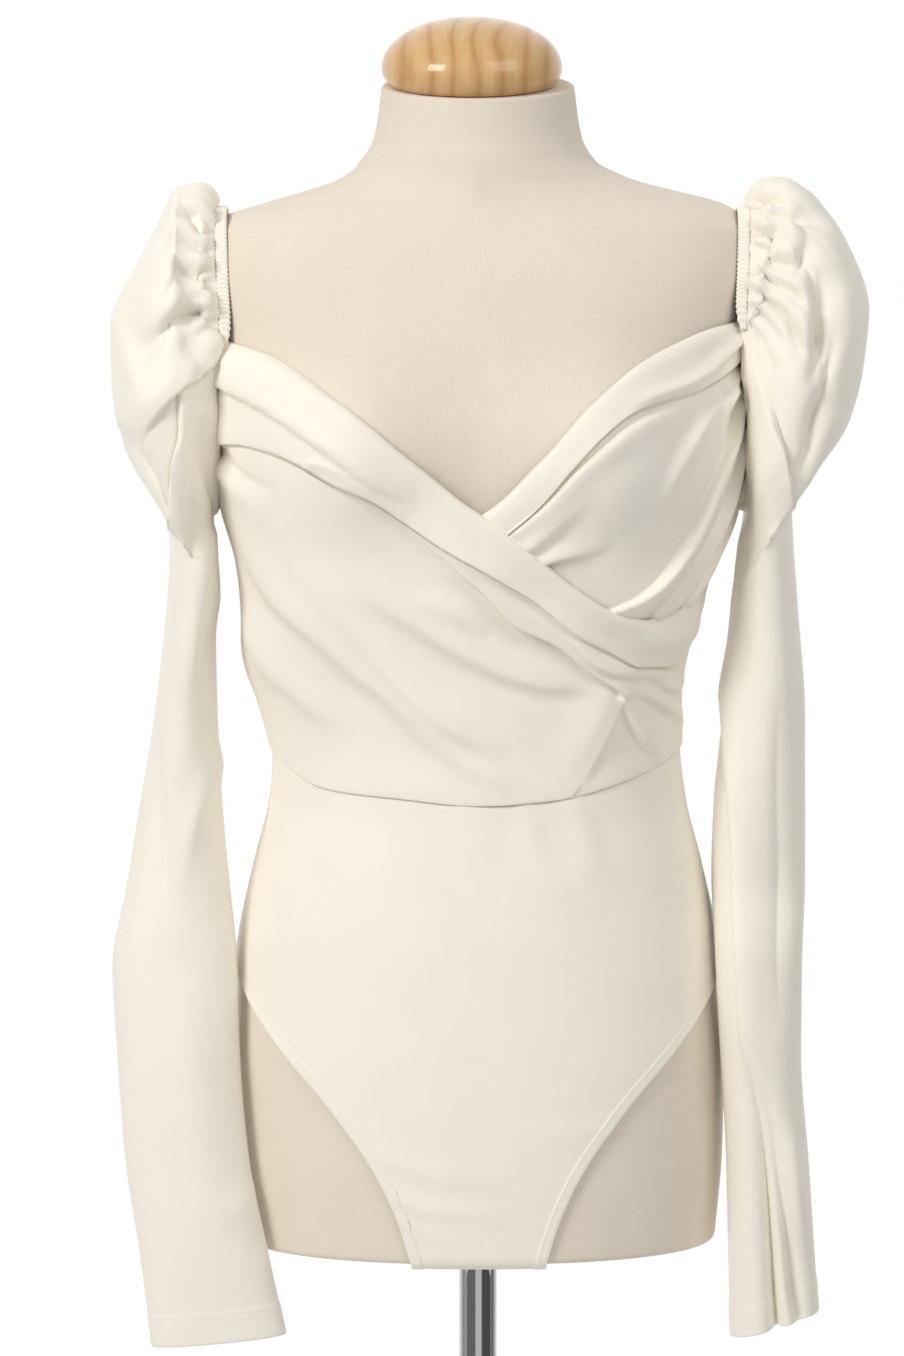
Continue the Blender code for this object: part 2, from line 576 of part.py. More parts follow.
def build_back(cloth):
    """The plain back of the bodice, between the armholes."""
    waist = back_waist(SEAM_GAP / 2)
    neck = along(BACK_NECK, COLUMNS)
    edges = []
    for armhole, mirror, seam in ((ARMHOLE_LEFT, 1, waist[0]), (ARMHOLE_RIGHT, -1, waist[-1])):
        edge = armhole_edge(armhole, 1, 2, CORNER_BACK, ARMHOLE_ROWS)
        edge[:, 0] = 180 - mirror * (180 - edge[:, 0])
        edge[-1, 0] = seam[0]
        edges.append(np.concatenate([edge, side_seam(seam[0], UNDERARM, seam[1], SIDE_ROWS)[1:]]))
    edges[0][0], edges[1][0] = neck[0], neck[-1]
    panel("bodice_back", lattice(neck, waist, *edges), UNDER_LAYER, cloth)


def brief_grid(column, centre, waist):
    """Rows of a brief panel: level rows beside the leg opening, then rows up to the waist seam."""
    across = np.linspace(-1, 1, len(waist))
    rows = []
    for height in BRIEF_LEVELS:
        half = smooth_column(LEG_OPENING, column, height)
        rows.append(np.stack([centre + half * across, np.full(len(across), height)], axis=-1))
    half = (waist[-1, 0] - waist[0, 0]) / 2
    side = np.stack([centre + half * across, np.full(len(across), SIDE_TOP)], axis=-1)
    for t in np.linspace(0, 1, BRIEF_ROWS):
        rows.append((1 - t) * side + t * waist)
    return np.array(rows)


def under_rows(angles, front, layer):
    """The crotch end, turned under the form: round the hem's edge, then towards the pole."""
    edge = form_point(angles, np.full(len(angles), HEM_HEIGHT + HEM_ROUND))
    depth = np.abs(edge[:, 1])
    sign = -1 if front else 1
    bend = HEM_ROUND + layer
    rows = []
    for turn in np.radians((45, 90)):
        reach = HEM_ROUND - bend * math.cos(turn)
        height = HEM_HEIGHT + HEM_ROUND - bend * math.sin(turn)
        rows.append((reach, height))
    rows.append((CROTCH_REACH, HEM_HEIGHT - layer))
    made = []
    for reach, height in rows:
        narrow = 1 - (1 - CROTCH_NARROW) * max(reach, 0) / CROTCH_REACH
        made.append(np.stack([edge[:, 0] * narrow, sign * (depth - reach),
                              np.full(len(angles), height)], axis=-1))
    return made


def build_brief(name, column, centre, waist, cloth):
    front = centre == 0
    grid = brief_grid(column, centre, waist)
    faces = []
    for layer in (UNDER_LAYER + CLOTH, UNDER_LAYER):
        side = cloth_point(grid[..., 0], grid[..., 1], layer)
        under = under_rows(grid[0, :, 0], front, layer)
        faces.append(np.concatenate([np.array(under[::-1]), side]))
    wall(name, faces[0], faces[1], cloth)


def build_snaps(metal):
    """Press studs on the two crotch ends, three each, under the cloth."""
    for word, sign, column in (("front", -1, 2), ("back", 1, 3)):
        edge = FORM_SECTIONS[0][column]
        y = sign * (edge - CROTCH_REACH + SNAP_INSET)
        for number in (1, 2, 3):
            x = (number - 2) * SNAP_PITCH
            top = HEM_HEIGHT - UNDER_LAYER - CLOTH - SEAM_GAP
            profile = ((0.0, top - SNAP_THICK), (SNAP_RADIUS * SNAP_FACE, top - SNAP_THICK),
                       (SNAP_RADIUS, top - SNAP_THICK / 2), (SNAP_RADIUS, top), (0.0, top))
            turned(f"snap_{word}_{number}", profile, metal, SNAP_SIDES, (x, y))


# ---------------------------------------------------------------- sleeves and shoulder elastic
def elastic_x(height, side):
    """Distance of the elastic's inner edge from the centre line: it leans outwards as it rises."""
    low = ELASTIC_LOW + (ELASTIC_LEFT_OUT if side > 0 else 0.0)
    return low + (ELASTIC_HIGH - ELASTIC_LOW) * (height - ARCH_BASE) / (ARCH_TOP - ARCH_BASE)


def arch_point(height, front, outward=0.0):
    """(y, z) on the inner face of the elastic's arch, or outside it, for a height up to its top."""
    depth = ARCH_FRONT if front else ARCH_BACK
    rise = min(max((height - ARCH_BASE) / (ARCH_TOP - ARCH_BASE), 0.0), 1.0)
    reach = depth * math.sqrt(1 - rise**2)
    normal = np.array((reach / depth**2, rise / (ARCH_TOP - ARCH_BASE)))
    normal /= np.linalg.norm(normal)
    y, z = np.array((reach, height)) + normal * outward
    return (-y if front else y), z


def armhole_ring(side, armhole, corner_front, layer, lift_at):
    """The loop where a sleeve starts: round the elastic's arch, then down the armhole seam."""
    turns = np.linspace(0, 2 * math.pi, SLEEVE_COLUMNS, endpoint=False)
    middle, half = (ARCH_TOP + UNDERARM) / 2, (ARCH_TOP - UNDERARM) / 2
    points = []
    for turn in turns:
        height = middle + half * math.cos(turn)
        front = math.sin(turn) >= 0
        corner = corner_front if front else CORNER_BACK
        level = min(height, corner)
        angle = side * smooth_column(armhole, 1 if front else 2, level)
        reach = layer + lift_at(angle, level) if front else UNDER_LAYER
        seam = cloth_point(angle, level, reach + CLOTH)
        outside = max(elastic_x(height, side) + ELASTIC_WIDE, abs(seam[0])) + ARMHOLE_CLEAR
        upper = np.array((side * outside, *arch_point(height, front, ELASTIC_THICK)))
        lower = np.array((seam[0] + side * ARMHOLE_CLEAR, seam[1], height))
        share = float(ease_in_out(height, corner - CORNER_BLEND, corner - CORNER_BLEND / 2))
        points.append((1 - share) * lower + share * upper)
    return np.array(points)


def sleeve_rings(side, sections, start):
    """Rings of a sleeve's outer face: the armhole loop, then closed loops through the sections."""
    turns = np.linspace(0, 2 * math.pi, SLEEVE_COLUMNS, endpoint=False)
    rows = [(index, *section) for index, section in enumerate(sections)]
    loops = []
    for place in np.linspace(1, len(sections) - 1, SLEEVE_RINGS):
        outer_x, outer_z, under_x, under_z, forward, depth, square = \
            (float(smooth_column(rows, column, place)) for column in range(1, 8))
        outer = np.array((side * outer_x, -forward, outer_z))
        under = np.array((side * under_x, -forward, under_z))
        cosine, sine = np.cos(turns), np.sin(turns)
        along_ring = np.sign(cosine) * np.abs(cosine) ** (2 / square)
        out_of_ring = np.sign(sine) * np.abs(sine) ** (2 / square)
        fade = math.exp(-((place - PUFF_MIDDLE) / PUFF_REACH) ** 2) * ease_in_out(place, 0, PUFF_MIDDLE)
        lobes = 1 + PUFF_LOBE_LIFT * fade * np.cos(PUFF_LOBES * turns + PUFF_LOBE_TURN) * np.abs(sine)
        middle = (outer + under) / 2
        ring = middle + (outer - under) / 2 * (along_ring * lobes)[:, None]
        ring[:, 1] -= depth * out_of_ring * lobes
        loops.append(ring)
    arch = (start - (0.0, 0.0, ARCH_BASE)) * (0.0, 1.0, 1.0)
    arch /= np.linalg.norm(arch, axis=1, keepdims=True)
    above = ease_in_out(start[:, 2], ARCH_BASE - HEAD_BLEND, ARCH_BASE + HEAD_BLEND)[:, None]
    first, slope = loops[0], loops[1] - loops[0]
    leave = (first - start) * (1 - above) + above * (arch * HEAD_RISE + (side * HEAD_OUT, 0.0, 0.0))
    head = [(1 - t) ** 2 * (1 + 2 * t) * start + t * t * (3 - 2 * t) * first
            + t * (1 - t) ** 2 * leave + t * t * (t - 1) * slope for t in HEAD_STEPS]
    return np.array(head + loops)


def inward(rings, thickness):
    """The rings moved into the tube along their own normals."""
    around = np.roll(rings, -1, axis=1) - np.roll(rings, 1, axis=1)
    down = np.gradient(rings, axis=0)
    normal = np.cross(around, down)
    normal /= np.linalg.norm(normal, axis=-1, keepdims=True)
    centres = rings.mean(axis=1, keepdims=True)
    facing = np.sign(((rings - centres) * normal).sum(axis=(1, 2)))
    return rings - normal * facing[:, None, None] * thickness


def build_sleeve(name, side, sections, start, cloth):
    rings = sleeve_rings(side, sections, start)
    wall(name, rings, inward(rings, CLOTH), cloth, tube=True)


def build_elastic(name, side, corner_front, cloth):
    """The gathered elastic casing over the shoulder, from the front corner to the back corner."""
    points = []
    for index in range(ELASTIC_STATIONS):
        share = index / (ELASTIC_STATIONS - 1)
        front = share <= 0.5
        low = (corner_front if front else CORNER_BACK) + ELASTIC_CLEAR
        height = low + (ARCH_TOP - low) * math.sin(math.pi * share)
        for across, outward in ((0, 0.0), (1, 0.0), (1, ELASTIC_THICK), (0, ELASTIC_THICK)):
            y, z = arch_point(height, front, outward)
            points.append((side * (elastic_x(height, side) + across * ELASTIC_WIDE), y, z))
    faces = [(0, 1, 2, 3), tuple(reversed(range(len(points) - 4, len(points))))]
    for index in range(ELASTIC_STATIONS - 1):
        for corner in range(4):
            here, beside = index * 4 + corner, index * 4 + (corner + 1) % 4
            faces.append((here, here + 4, beside + 4, beside))
    add_object(name, points, faces, cloth)


# ---------------------------------------------------------------- the whole part
def main():
    for existing in list(bpy.data.objects):
        bpy.data.objects.remove(existing)
    cloth = material("cloth", CLOTH_COLOUR, 0.62)
    cover = material("form_cover", COVER_COLOUR, 0.85)
    wood = material("varnished_wood", WOOD_COLOUR, 0.25)
    chrome = material("chrome", CHROME_COLOUR, 0.12, 1.0)
    snap = material("snap_metal", SNAP_COLOUR, 0.40)
    build_stand(chrome)
    build_form(cover)
    build_neck_cap(wood)
    build_front_under(cloth)
    build_front_over(cloth)
    build_back(cloth)
    build_brief("brief_front", 1, 0, waist_edge(-SEAM_GAP / 2), cloth)
    build_brief("brief_back", 2, 180, back_waist(-SEAM_GAP / 2), cloth)
    build_snaps(snap)
    start = armhole_ring(-1, ARMHOLE_RIGHT, CORNER_RIGHT, OVER_LAYER, over_lift)
    build_sleeve("sleeve_right", -1, SLEEVE_RIGHT, start, cloth)
    start = armhole_ring(1, ARMHOLE_LEFT, CORNER_LEFT, UNDER_LAYER, under_lift)
    build_sleeve("sleeve_left", 1, SLEEVE_LEFT, start, cloth)
    build_elastic("elastic_right", -1, CORNER_RIGHT, cloth)
    build_elastic("elastic_left", 1, CORNER_LEFT, cloth)


main()
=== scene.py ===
"""Looks of a wrap bodysuit with puffed sleeves, worn by a limbless dress form on a chrome stand.

Metres, +Z up, front towards -Y. Angles run round the form in degrees: 0 is the centre front, +90
the side at +X, -90 the side at -X and 180 the centre back. The form's surface and the garment's
seams are the CAD model's own tables, read here at a finer step, with the folds laid on them.
"""

import math

import bpy
import numpy as np
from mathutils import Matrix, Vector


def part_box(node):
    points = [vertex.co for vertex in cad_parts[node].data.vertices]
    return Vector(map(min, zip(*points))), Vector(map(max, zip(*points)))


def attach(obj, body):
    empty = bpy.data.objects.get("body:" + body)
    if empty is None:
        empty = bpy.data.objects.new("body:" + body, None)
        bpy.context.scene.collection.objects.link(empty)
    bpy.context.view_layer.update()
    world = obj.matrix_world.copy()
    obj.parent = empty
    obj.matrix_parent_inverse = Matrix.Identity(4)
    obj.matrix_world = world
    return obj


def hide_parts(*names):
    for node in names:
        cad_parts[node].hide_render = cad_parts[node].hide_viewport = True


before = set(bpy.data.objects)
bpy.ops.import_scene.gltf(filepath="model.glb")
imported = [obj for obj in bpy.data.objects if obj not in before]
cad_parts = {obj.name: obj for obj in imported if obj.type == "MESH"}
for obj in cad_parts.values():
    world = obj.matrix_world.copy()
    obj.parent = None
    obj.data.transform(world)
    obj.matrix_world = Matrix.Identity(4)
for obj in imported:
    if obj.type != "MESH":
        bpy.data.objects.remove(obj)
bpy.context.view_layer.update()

# ---------------------------------------------------------------- sizes shared with the CAD model
CLOTH = 0.0012
FORM_GAP = 0.0017
LAYER_GAP = 0.0014
METRES_PER_DEGREE = 0.0026
UNDER_LAYER = FORM_GAP
OVER_LAYER = FORM_GAP + CLOTH + LAYER_GAP
SEAM = 0.00025

HEM_HEIGHT, HEM_ROUND = 0.740, 0.004
NECK_RIM, NECK_TILT = 1.497, 0.25
TILT_FROM, TILT_TO = 1.440, 1.490
BUST_OUT, BUST_HEIGHT, BUST_LIFT, BUST_SPREAD = 0.088, 1.245, 0.029, 0.052
BUST_BELOW, BUST_ABOVE = 0.045, 0.062

POLE_RADIUS, BASE_RADIUS, BASE_EDGE = 0.0130, 0.170, 0.008
BOSS_RADIUS, BOSS_HEIGHT, BOSS_FLARE = 0.028, 0.032, 0.004
CAP_RADIUS, CAP_FOOT, CAP_BULGE, CAP_HEIGHT, CAP_SHIFT = 0.059, 0.055, 0.011, 0.043, -0.004

CORNER_RIGHT, CORNER_LEFT, CORNER_BACK = 1.330, 1.343, 1.338
CORNER_BLEND = 0.010
UNDERARM = 1.222
ARCH_TOP, ARCH_BASE, ARCH_FRONT, ARCH_BACK = 1.417, 1.330, 0.0465, 0.0460
ARCH_RISE = ARCH_TOP - ARCH_BASE
ELASTIC_LOW, ELASTIC_HIGH, ELASTIC_WIDE, ELASTIC_THICK = 0.1590, 0.1643, 0.0078, 0.0024
SIDE_TOP = 0.932
CROTCH_REACH, CROTCH_NARROW = 0.052, 0.80
SNAP_RADIUS = 0.0045

# Sections of the form: height, half width, depth in front, depth behind, squareness.
FORM_SECTIONS = (
    (0.74, 0.157, 0.108, 0.111, 2.2), (0.8, 0.162, 0.11, 0.117, 2.25), (0.86, 0.163, 0.108, 0.12, 2.25),
    (0.9, 0.16, 0.105, 0.118, 2.2), (0.94, 0.155, 0.101, 0.112, 2.2), (0.99, 0.144, 0.095, 0.1, 2.15),
    (1.03, 0.134, 0.09, 0.088, 2.1), (1.065, 0.13, 0.088, 0.08, 2.1), (1.1, 0.1292, 0.09, 0.081, 2.15),
    (1.14, 0.1363, 0.094, 0.087, 2.2), (1.19, 0.1515, 0.098, 0.093, 2.3),
    (1.225, 0.164, 0.098, 0.096, 2.35), (1.26, 0.169, 0.098, 0.098, 2.35),
    (1.32, 0.172, 0.091, 0.098, 2.35), (1.37, 0.173, 0.08, 0.093, 2.7), (1.4, 0.172, 0.07, 0.087, 2.3),
    (1.414, 0.166, 0.065, 0.082, 1.7), (1.422, 0.152, 0.063, 0.079, 1.5), (1.429, 0.126, 0.062, 0.076, 1.5),
    (1.437, 0.097, 0.061, 0.072, 1.65), (1.448, 0.078, 0.06, 0.067, 1.85), (1.465, 0.068, 0.058, 0.062, 2),
    (1.497, 0.063, 0.057, 0.058, 2),
)
# The shoulders aren't quite alike: height, what is added to the half width at +X and at -X.
SHOULDERS = (
    (1.335, 0, 0), (1.375, 0.005, 0), (1.4, 0.0055, 0), (1.412, 0.006, -0.001), (1.423, 0.0065, -0.014),
    (1.437, 0.004, -0.006), (1.448, 0, 0),
)
# Where the cloth stands off the form: angle, height, spread in degrees, spread in height, lift.
EASE = (
    (3, 1.215, 14, 0.045, 0.01), (-34, 1.17, 22, 0.036, 0.008), (34, 1.17, 22, 0.034, 0.006),
    (-84, 1.118, 34, 0.042, 0.012), (-84, 1.145, 32, 0.05, 0.006),
)
# Seams and edges: angle, height.
WAIST_SEAM = (
    (-90, 1.0695), (-69, 1.0565), (-46, 1.0415), (-20, 1.0365), (0, 1.0325), (20, 1.0357), (45, 1.0475),
    (62, 1.057), (90, 1.071),
)
WAIST_BACK = (
    (90, 1.071), (135, 1.076), (180, 1.078), (225, 1.076), (270, 1.0695),
)
OVER_NECK = (
    (-67, 1.33), (-47, 1.319), (-27, 1.289), (-11.5, 1.252), (1, 1.218), (13, 1.19), (21.5, 1.1735),
    (33, 1.1585), (46, 1.152), (64, 1.1595), (90, 1.18),
)
OVER_FOLD = (
    (-77.6, 1.2645), (-59.7, 1.2639), (-48.7, 1.2598), (-36.8, 1.2495), (-29.3, 1.2394), (-21.3, 1.2304),
    (-12.1, 1.2125), (-4.9, 1.198), (7.9, 1.1734), (23.8, 1.1471), (33, 1.1366), (46.7, 1.1246),
    (60.7, 1.123), (73, 1.129), (90, 1.138),
)
UNDER_NECK = (
    (-90, 1.176), (-64, 1.157), (-33, 1.158), (-13, 1.189), (1, 1.2205), (11, 1.253), (20, 1.285),
    (34, 1.316), (57, 1.338), (71.6, 1.343),
)
UNDER_FOLD = (
    (-90, 1.16), (-64, 1.142), (-33, 1.142), (-13, 1.166), (-2, 1.188), (4.6, 1.2063), (11.7, 1.2268),
    (17.3, 1.2464), (23.4, 1.2657), (30.1, 1.2799), (39.9, 1.29), (52.8, 1.2986), (73.5, 1.319),
)
BACK_NECK = (
    (110, 1.338), (125, 1.318), (150, 1.296), (180, 1.29), (210, 1.296), (235, 1.318), (250, 1.338),
)
# The armhole of each side: height, angle of its front edge, angle of its back edge.
ARMHOLE_RIGHT = (
    (1.222, 90, 90), (1.23, 85.5, 95), (1.245, 81, 99), (1.27, 76.5, 103), (1.305, 68.5, 107),
    (1.33, 67, 109.5), (1.338, 67, 110),
)
ARMHOLE_LEFT = (
    (1.222, 90, 90), (1.23, 85.5, 95), (1.245, 81, 99), (1.27, 77.5, 103), (1.305, 73, 107),
    (1.338, 71.6, 110), (1.343, 71.6, 110),
)
# The leg opening: height, half angle of the front, half angle of the back from its centre.
LEG_OPENING = (
    (0.742, 13.7, 15), (0.765, 15.8, 21), (0.787, 18.8, 28), (0.807, 23, 34.5), (0.828, 29, 41),
    (0.849, 36.5, 47), (0.87, 46.5, 53), (0.893, 59.5, 61), (0.91, 71, 70), (0.923, 81, 80),
    (0.932, 90, 90),
)
# Sleeve sections, from the armhole to the cuff. Each ring joins an outer and an under point:
# outer x, outer height, under x, under height, forward shift, half depth, squareness.
SLEEVE_RIGHT = (
    (0.181, 1.43, 0.1775, 1.22, 0, 0.05, 2.1), (0.1955, 1.43, 0.1775, 1.2175, 0.002, 0.062, 2.2),
    (0.2065, 1.411, 0.1768, 1.214, 0.003, 0.068, 2.2), (0.2245, 1.378, 0.176, 1.209, 0.004, 0.07, 2.2),
    (0.241, 1.342, 0.1745, 1.203, 0.004, 0.067, 2.2), (0.24, 1.305, 0.173, 1.196, 0.004, 0.063, 2.2),
    (0.234, 1.266, 0.1715, 1.187, 0.003, 0.06, 2.2), (0.218, 1.234, 0.17, 1.176, 0.002, 0.057, 2.2),
    (0.201, 1.211, 0.1697, 1.163, 0.002, 0.054, 2.2), (0.2036, 1.168, 0.1725, 1.135, 0.002, 0.051, 2.2),
    (0.211, 1.1, 0.1715, 1.085, 0.004, 0.047, 2.1), (0.222, 1.03, 0.1675, 1.02, 0.012, 0.042, 2.1),
    (0.23, 0.975, 0.162, 0.97, 0.025, 0.035, 2.1), (0.2385, 0.925, 0.157, 0.925, 0.038, 0.029, 2.1),
    (0.2345, 0.868, 0.1548, 0.868, 0.051, 0.025, 2.1), (0.2285, 0.8, 0.1487, 0.803, 0.062, 0.021, 2.1),
    (0.2195, 0.745, 0.1372, 0.748, 0.07, 0.018, 2.1), (0.211, 0.682, 0.1245, 0.69, 0.0735, 0.0155, 2.2),
)
SLEEVE_LEFT = (
    (0.182, 1.431, 0.1775, 1.22, 0, 0.05, 2.1), (0.199, 1.438, 0.177, 1.2175, 0.002, 0.062, 2.2),
    (0.2155, 1.43, 0.1757, 1.214, 0.003, 0.068, 2.2), (0.24, 1.398, 0.174, 1.209, 0.004, 0.071, 2.2),
    (0.256, 1.352, 0.1722, 1.203, 0.004, 0.069, 2.2), (0.253, 1.315, 0.1708, 1.196, 0.004, 0.065, 2.2),
    (0.244, 1.28, 0.17, 1.187, 0.003, 0.061, 2.2), (0.2205, 1.248, 0.1697, 1.176, 0.002, 0.057, 2.2),
    (0.205, 1.229, 0.169, 1.165, 0.002, 0.054, 2.2), (0.21, 1.16, 0.1675, 1.135, 0.002, 0.051, 2.2),
    (0.2155, 1.085, 0.161, 1.08, 0.004, 0.047, 2.1), (0.2155, 1.03, 0.1552, 1.025, 0.01, 0.042, 2.1),
    (0.215, 0.98, 0.1535, 0.978, 0.018, 0.038, 2.1), (0.211, 0.93, 0.1545, 0.928, 0.044, 0.031, 2.1),
    (0.21, 0.868, 0.1575, 0.868, 0.048, 0.032, 2.1), (0.215, 0.8, 0.1615, 0.8, 0.048, 0.031, 2.1),
    (0.219, 0.745, 0.1632, 0.743, 0.046, 0.03, 2.1), (0.2225, 0.7, 0.165, 0.683, 0.044, 0.029, 2.2),
)

# ---------------------------------------------------------------- folds of the worn cloth
# Every fold: lean, flat, then its stations. Lean above 0 makes its left side broad and its right
# side steep, seen from outside along its run; flat is how far the top runs on to the left before
# it falls, in mm. Stations on the body: angle, height, half width in mm, lift in mm.
OVER_FOLDS = (
    (0.62, 5, (-69, 1.3057, 6, 4.7), (-47.7, 1.2868, 6, 4.7), (-33.2, 1.2659, 6, 5.3),
     (-25.5, 1.2506, 6, 4.7), (-20, 1.2385, 6, 2.8), (-12, 1.229, 6, 0)),
    (-0.2, 0, (-36, 1.2475, 3, 0), (-32.5, 1.25, 3, 3.8), (-27.3, 1.2465, 3, 3.5), (-23.3, 1.2393, 3, 2.4),
     (-17, 1.225, 3, 0)),
    (0.7, 7, (-14.2, 1.2158, 7, 0), (-6.3, 1.1949, 7, 3.8), (-1.2, 1.1802, 7, 5.7), (8.5, 1.1517, 7, 6.6),
     (17.5, 1.1414, 7, 6.1), (31, 1.1207, 7, 6.6), (38, 1.112, 7, 4.7), (50, 1.0959, 6, 0)),
    (0.3, 0, (20, 1.148, 4, 0), (29.9, 1.13, 4, 3.2), (38, 1.123, 4, 4.2), (54, 1.117, 4, 2.8),
     (66, 1.115, 5, 0)),
    (-0.1, 0, (-77, 1.2585, 4, -8.1), (-71, 1.257, 5, -6.6), (-65, 1.2494, 4, -3.8), (-56, 1.2398, 4, -2.8),
     (-44, 1.2335, 5, 0)),
    (0, 0, (-78, 1.254, 6, 5.7), (-70, 1.244, 8, 4.3), (-60, 1.23, 9, 2), (-50, 1.216, 9, 0)),
    (0.3, 0, (-72, 1.212, 14, 0), (-57, 1.1739, 13, 4.6), (-44, 1.1498, 12, 6.6), (-31, 1.1194, 11, 6.6),
     (-17, 1.094, 10, 5), (-4, 1.065, 9, 0)),
    (0.3, 0, (-50, 1.208, 14, 0), (-33, 1.1579, 12, 2.6), (-19, 1.1145, 10, 5), (-7, 1.0864, 9, 5),
     (7, 1.0618, 8, 0)),
    (0.35, 0, (-30, 1.185, 12, 0), (-12.4, 1.1485, 10, 4.3), (-3.7, 1.1338, 10, 5.4), (6.8, 1.1185, 9, 4.6),
     (20, 1.1106, 9, 3.1), (33, 1.11, 9, 0)),
    (0.2, 0, (-14, 1.17, 8, 0), (-4.4, 1.1568, 8, 3.4), (2, 1.142, 7, 0)),
    (0.2, 0, (-82, 1.1786, 12, 0), (-70, 1.1369, 12, 3.4), (-55, 1.1053, 11, 4.3), (-38, 1.0802, 10, 0)),
    (0.1, 0, (-26, 1.104, 9, 0), (-12, 1.076, 9, 3.4), (2, 1.052, 8, 2.3), (10, 1.042, 8, 0)),
    (-0.55, 8, (43.5, 1.115, 9, 0.6), (42, 1.108, 9, 3), (39.6, 1.1, 9, 5.8), (36.5, 1.085, 9, 5.8),
     (33, 1.068, 9, 4), (28, 1.048, 9, 0.8)),
    (0.45, 0, (40, 1.103, 6, 3.4), (50.6, 1.0762, 6, 6.2), (58.6, 1.06, 6, 1.3)),
    (0.3, 0, (45, 1.109, 5, 1.7), (58, 1.0985, 5, 5), (74, 1.087, 5, 5.9), (90, 1.08, 6, 5.9)),
    (0.3, 0, (52, 1.118, 4, 0), (64, 1.108, 4, 5), (77, 1.1063, 5, 6.2), (90, 1.11, 5, 6.2)),
    (0, 0, (44, 1.14, 11, 1.2), (56, 1.14, 12, 6.6), (70, 1.146, 12, 9.7), (90, 1.159, 13, 9.7)),
    (0.2, 0, (56, 1.1545, 4, 0), (68, 1.16, 4, -2.6), (80, 1.166, 4, -3.1), (90, 1.169, 4, -2.6)),
)
UNDER_FOLDS = (
    (0.2, 0, (28, 1.283, 4, 0), (36, 1.2915, 4, 2.8), (45, 1.299, 4, 4.1), (54, 1.309, 4, 4.5),
     (63, 1.3225, 4, 4.1), (73, 1.335, 4, 3)),
    (-0.45, 0, (3, 1.198, 4, 3.4), (10.1, 1.2157, 5, 4.9), (14.6, 1.2278, 5, 5.2), (19.1, 1.242, 5, 5.2),
     (24.4, 1.2552, 5, 4.9), (30.3, 1.2681, 6, 4.1), (40, 1.28, 7, 2.2), (52, 1.288, 8, 0)),
    (0.2, 0, (2, 1.186, 3, 4.9), (8, 1.196, 4, 5.6), (13, 1.209, 5, 4.1), (18, 1.223, 6, 1.9),
     (22, 1.234, 6, 0)),
    (0.45, 0, (7, 1.18, 4, 4.1), (11.4, 1.188, 4, 4.9), (16.2, 1.1945, 5, 4.5), (22.1, 1.1975, 6, 2.6),
     (30, 1.2, 6, 0)),
    (0.55, 0, (77, 1.296, 4.2, 4.1), (73, 1.274, 6, 7.2), (65.1, 1.2513, 7.6, 9), (59, 1.224, 8.5, 9.9),
     (56, 1.2016, 8.5, 10.4), (50.9, 1.1832, 7.6, 10.4), (41.8, 1.1648, 6, 9), (30, 1.153, 4.2, 5.8)),
    (0.5, 0, (79.5, 1.286, 4.2, 4.5), (78, 1.252, 6, 6.8), (71, 1.2147, 6.8, 8.1), (66.2, 1.1942, 6.8, 9),
     (61.1, 1.1737, 6, 9.4), (50, 1.152, 4.2, 7.6)),
    (0.25, 0, (76, 1.299, 4.2, 3.2), (60, 1.2875, 5.1, 5.4), (51, 1.2668, 6.8, 5.8), (45, 1.2466, 7.6, 4.1),
     (40, 1.22, 7.6, 0)),
    (0.25, 0, (75.7, 1.3116, 3.4, 3.6), (64.2, 1.2916, 4.2, 5.8), (60.1, 1.2658, 6, 5.8),
     (55.9, 1.2404, 6.8, 3.2), (53, 1.22, 6.8, 0)),
    (0.3, 0, (84, 1.24, 5.1, 3.6), (80, 1.214, 6, 6.3), (75, 1.188, 6, 7.2), (66, 1.16, 5.1, 5.8)),
    (0, 0, (20, 1.185, 12, 0), (30, 1.19, 13, -3), (40, 1.205, 12, -3), (46, 1.225, 12, 0)),
)
BACK_FOLDS = (
    (0.2, 0, (104, 1.27, 8, 3), (118, 1.25, 10, 3.3), (134, 1.244, 12, 1.8), (150, 1.245, 12, 0)),
    (0.2, 0, (256, 1.272, 8, 3.3), (243, 1.248, 10, 3.6), (228, 1.239, 12, 2.1), (210, 1.238, 12, 0)),
    (0.3, 0, (94, 1.17, 9, 2.7), (112, 1.148, 10, 3.9), (132, 1.136, 10, 3.3), (160, 1.13, 11, 1.2),
     (176, 1.13, 11, 0)),
    (-0.3, 0, (267, 1.165, 9, 2.7), (247, 1.14, 10, 3.9), (226, 1.127, 10, 3.3), (198, 1.12, 11, 1.5),
     (184, 1.119, 11, 0)),
    (0.3, 0, (92, 1.115, 8, 2.1), (112, 1.102, 8, 3.3), (138, 1.096, 8, 2.4), (166, 1.096, 9, 0)),
    (-0.3, 0, (268, 1.118, 8, 2.1), (250, 1.104, 8, 3), (226, 1.095, 8, 2.7), (200, 1.093, 9, 0)),
    (0, 0, (150, 1.2, 14, 0), (180, 1.186, 14, 2.4), (208, 1.194, 14, 0)),
)
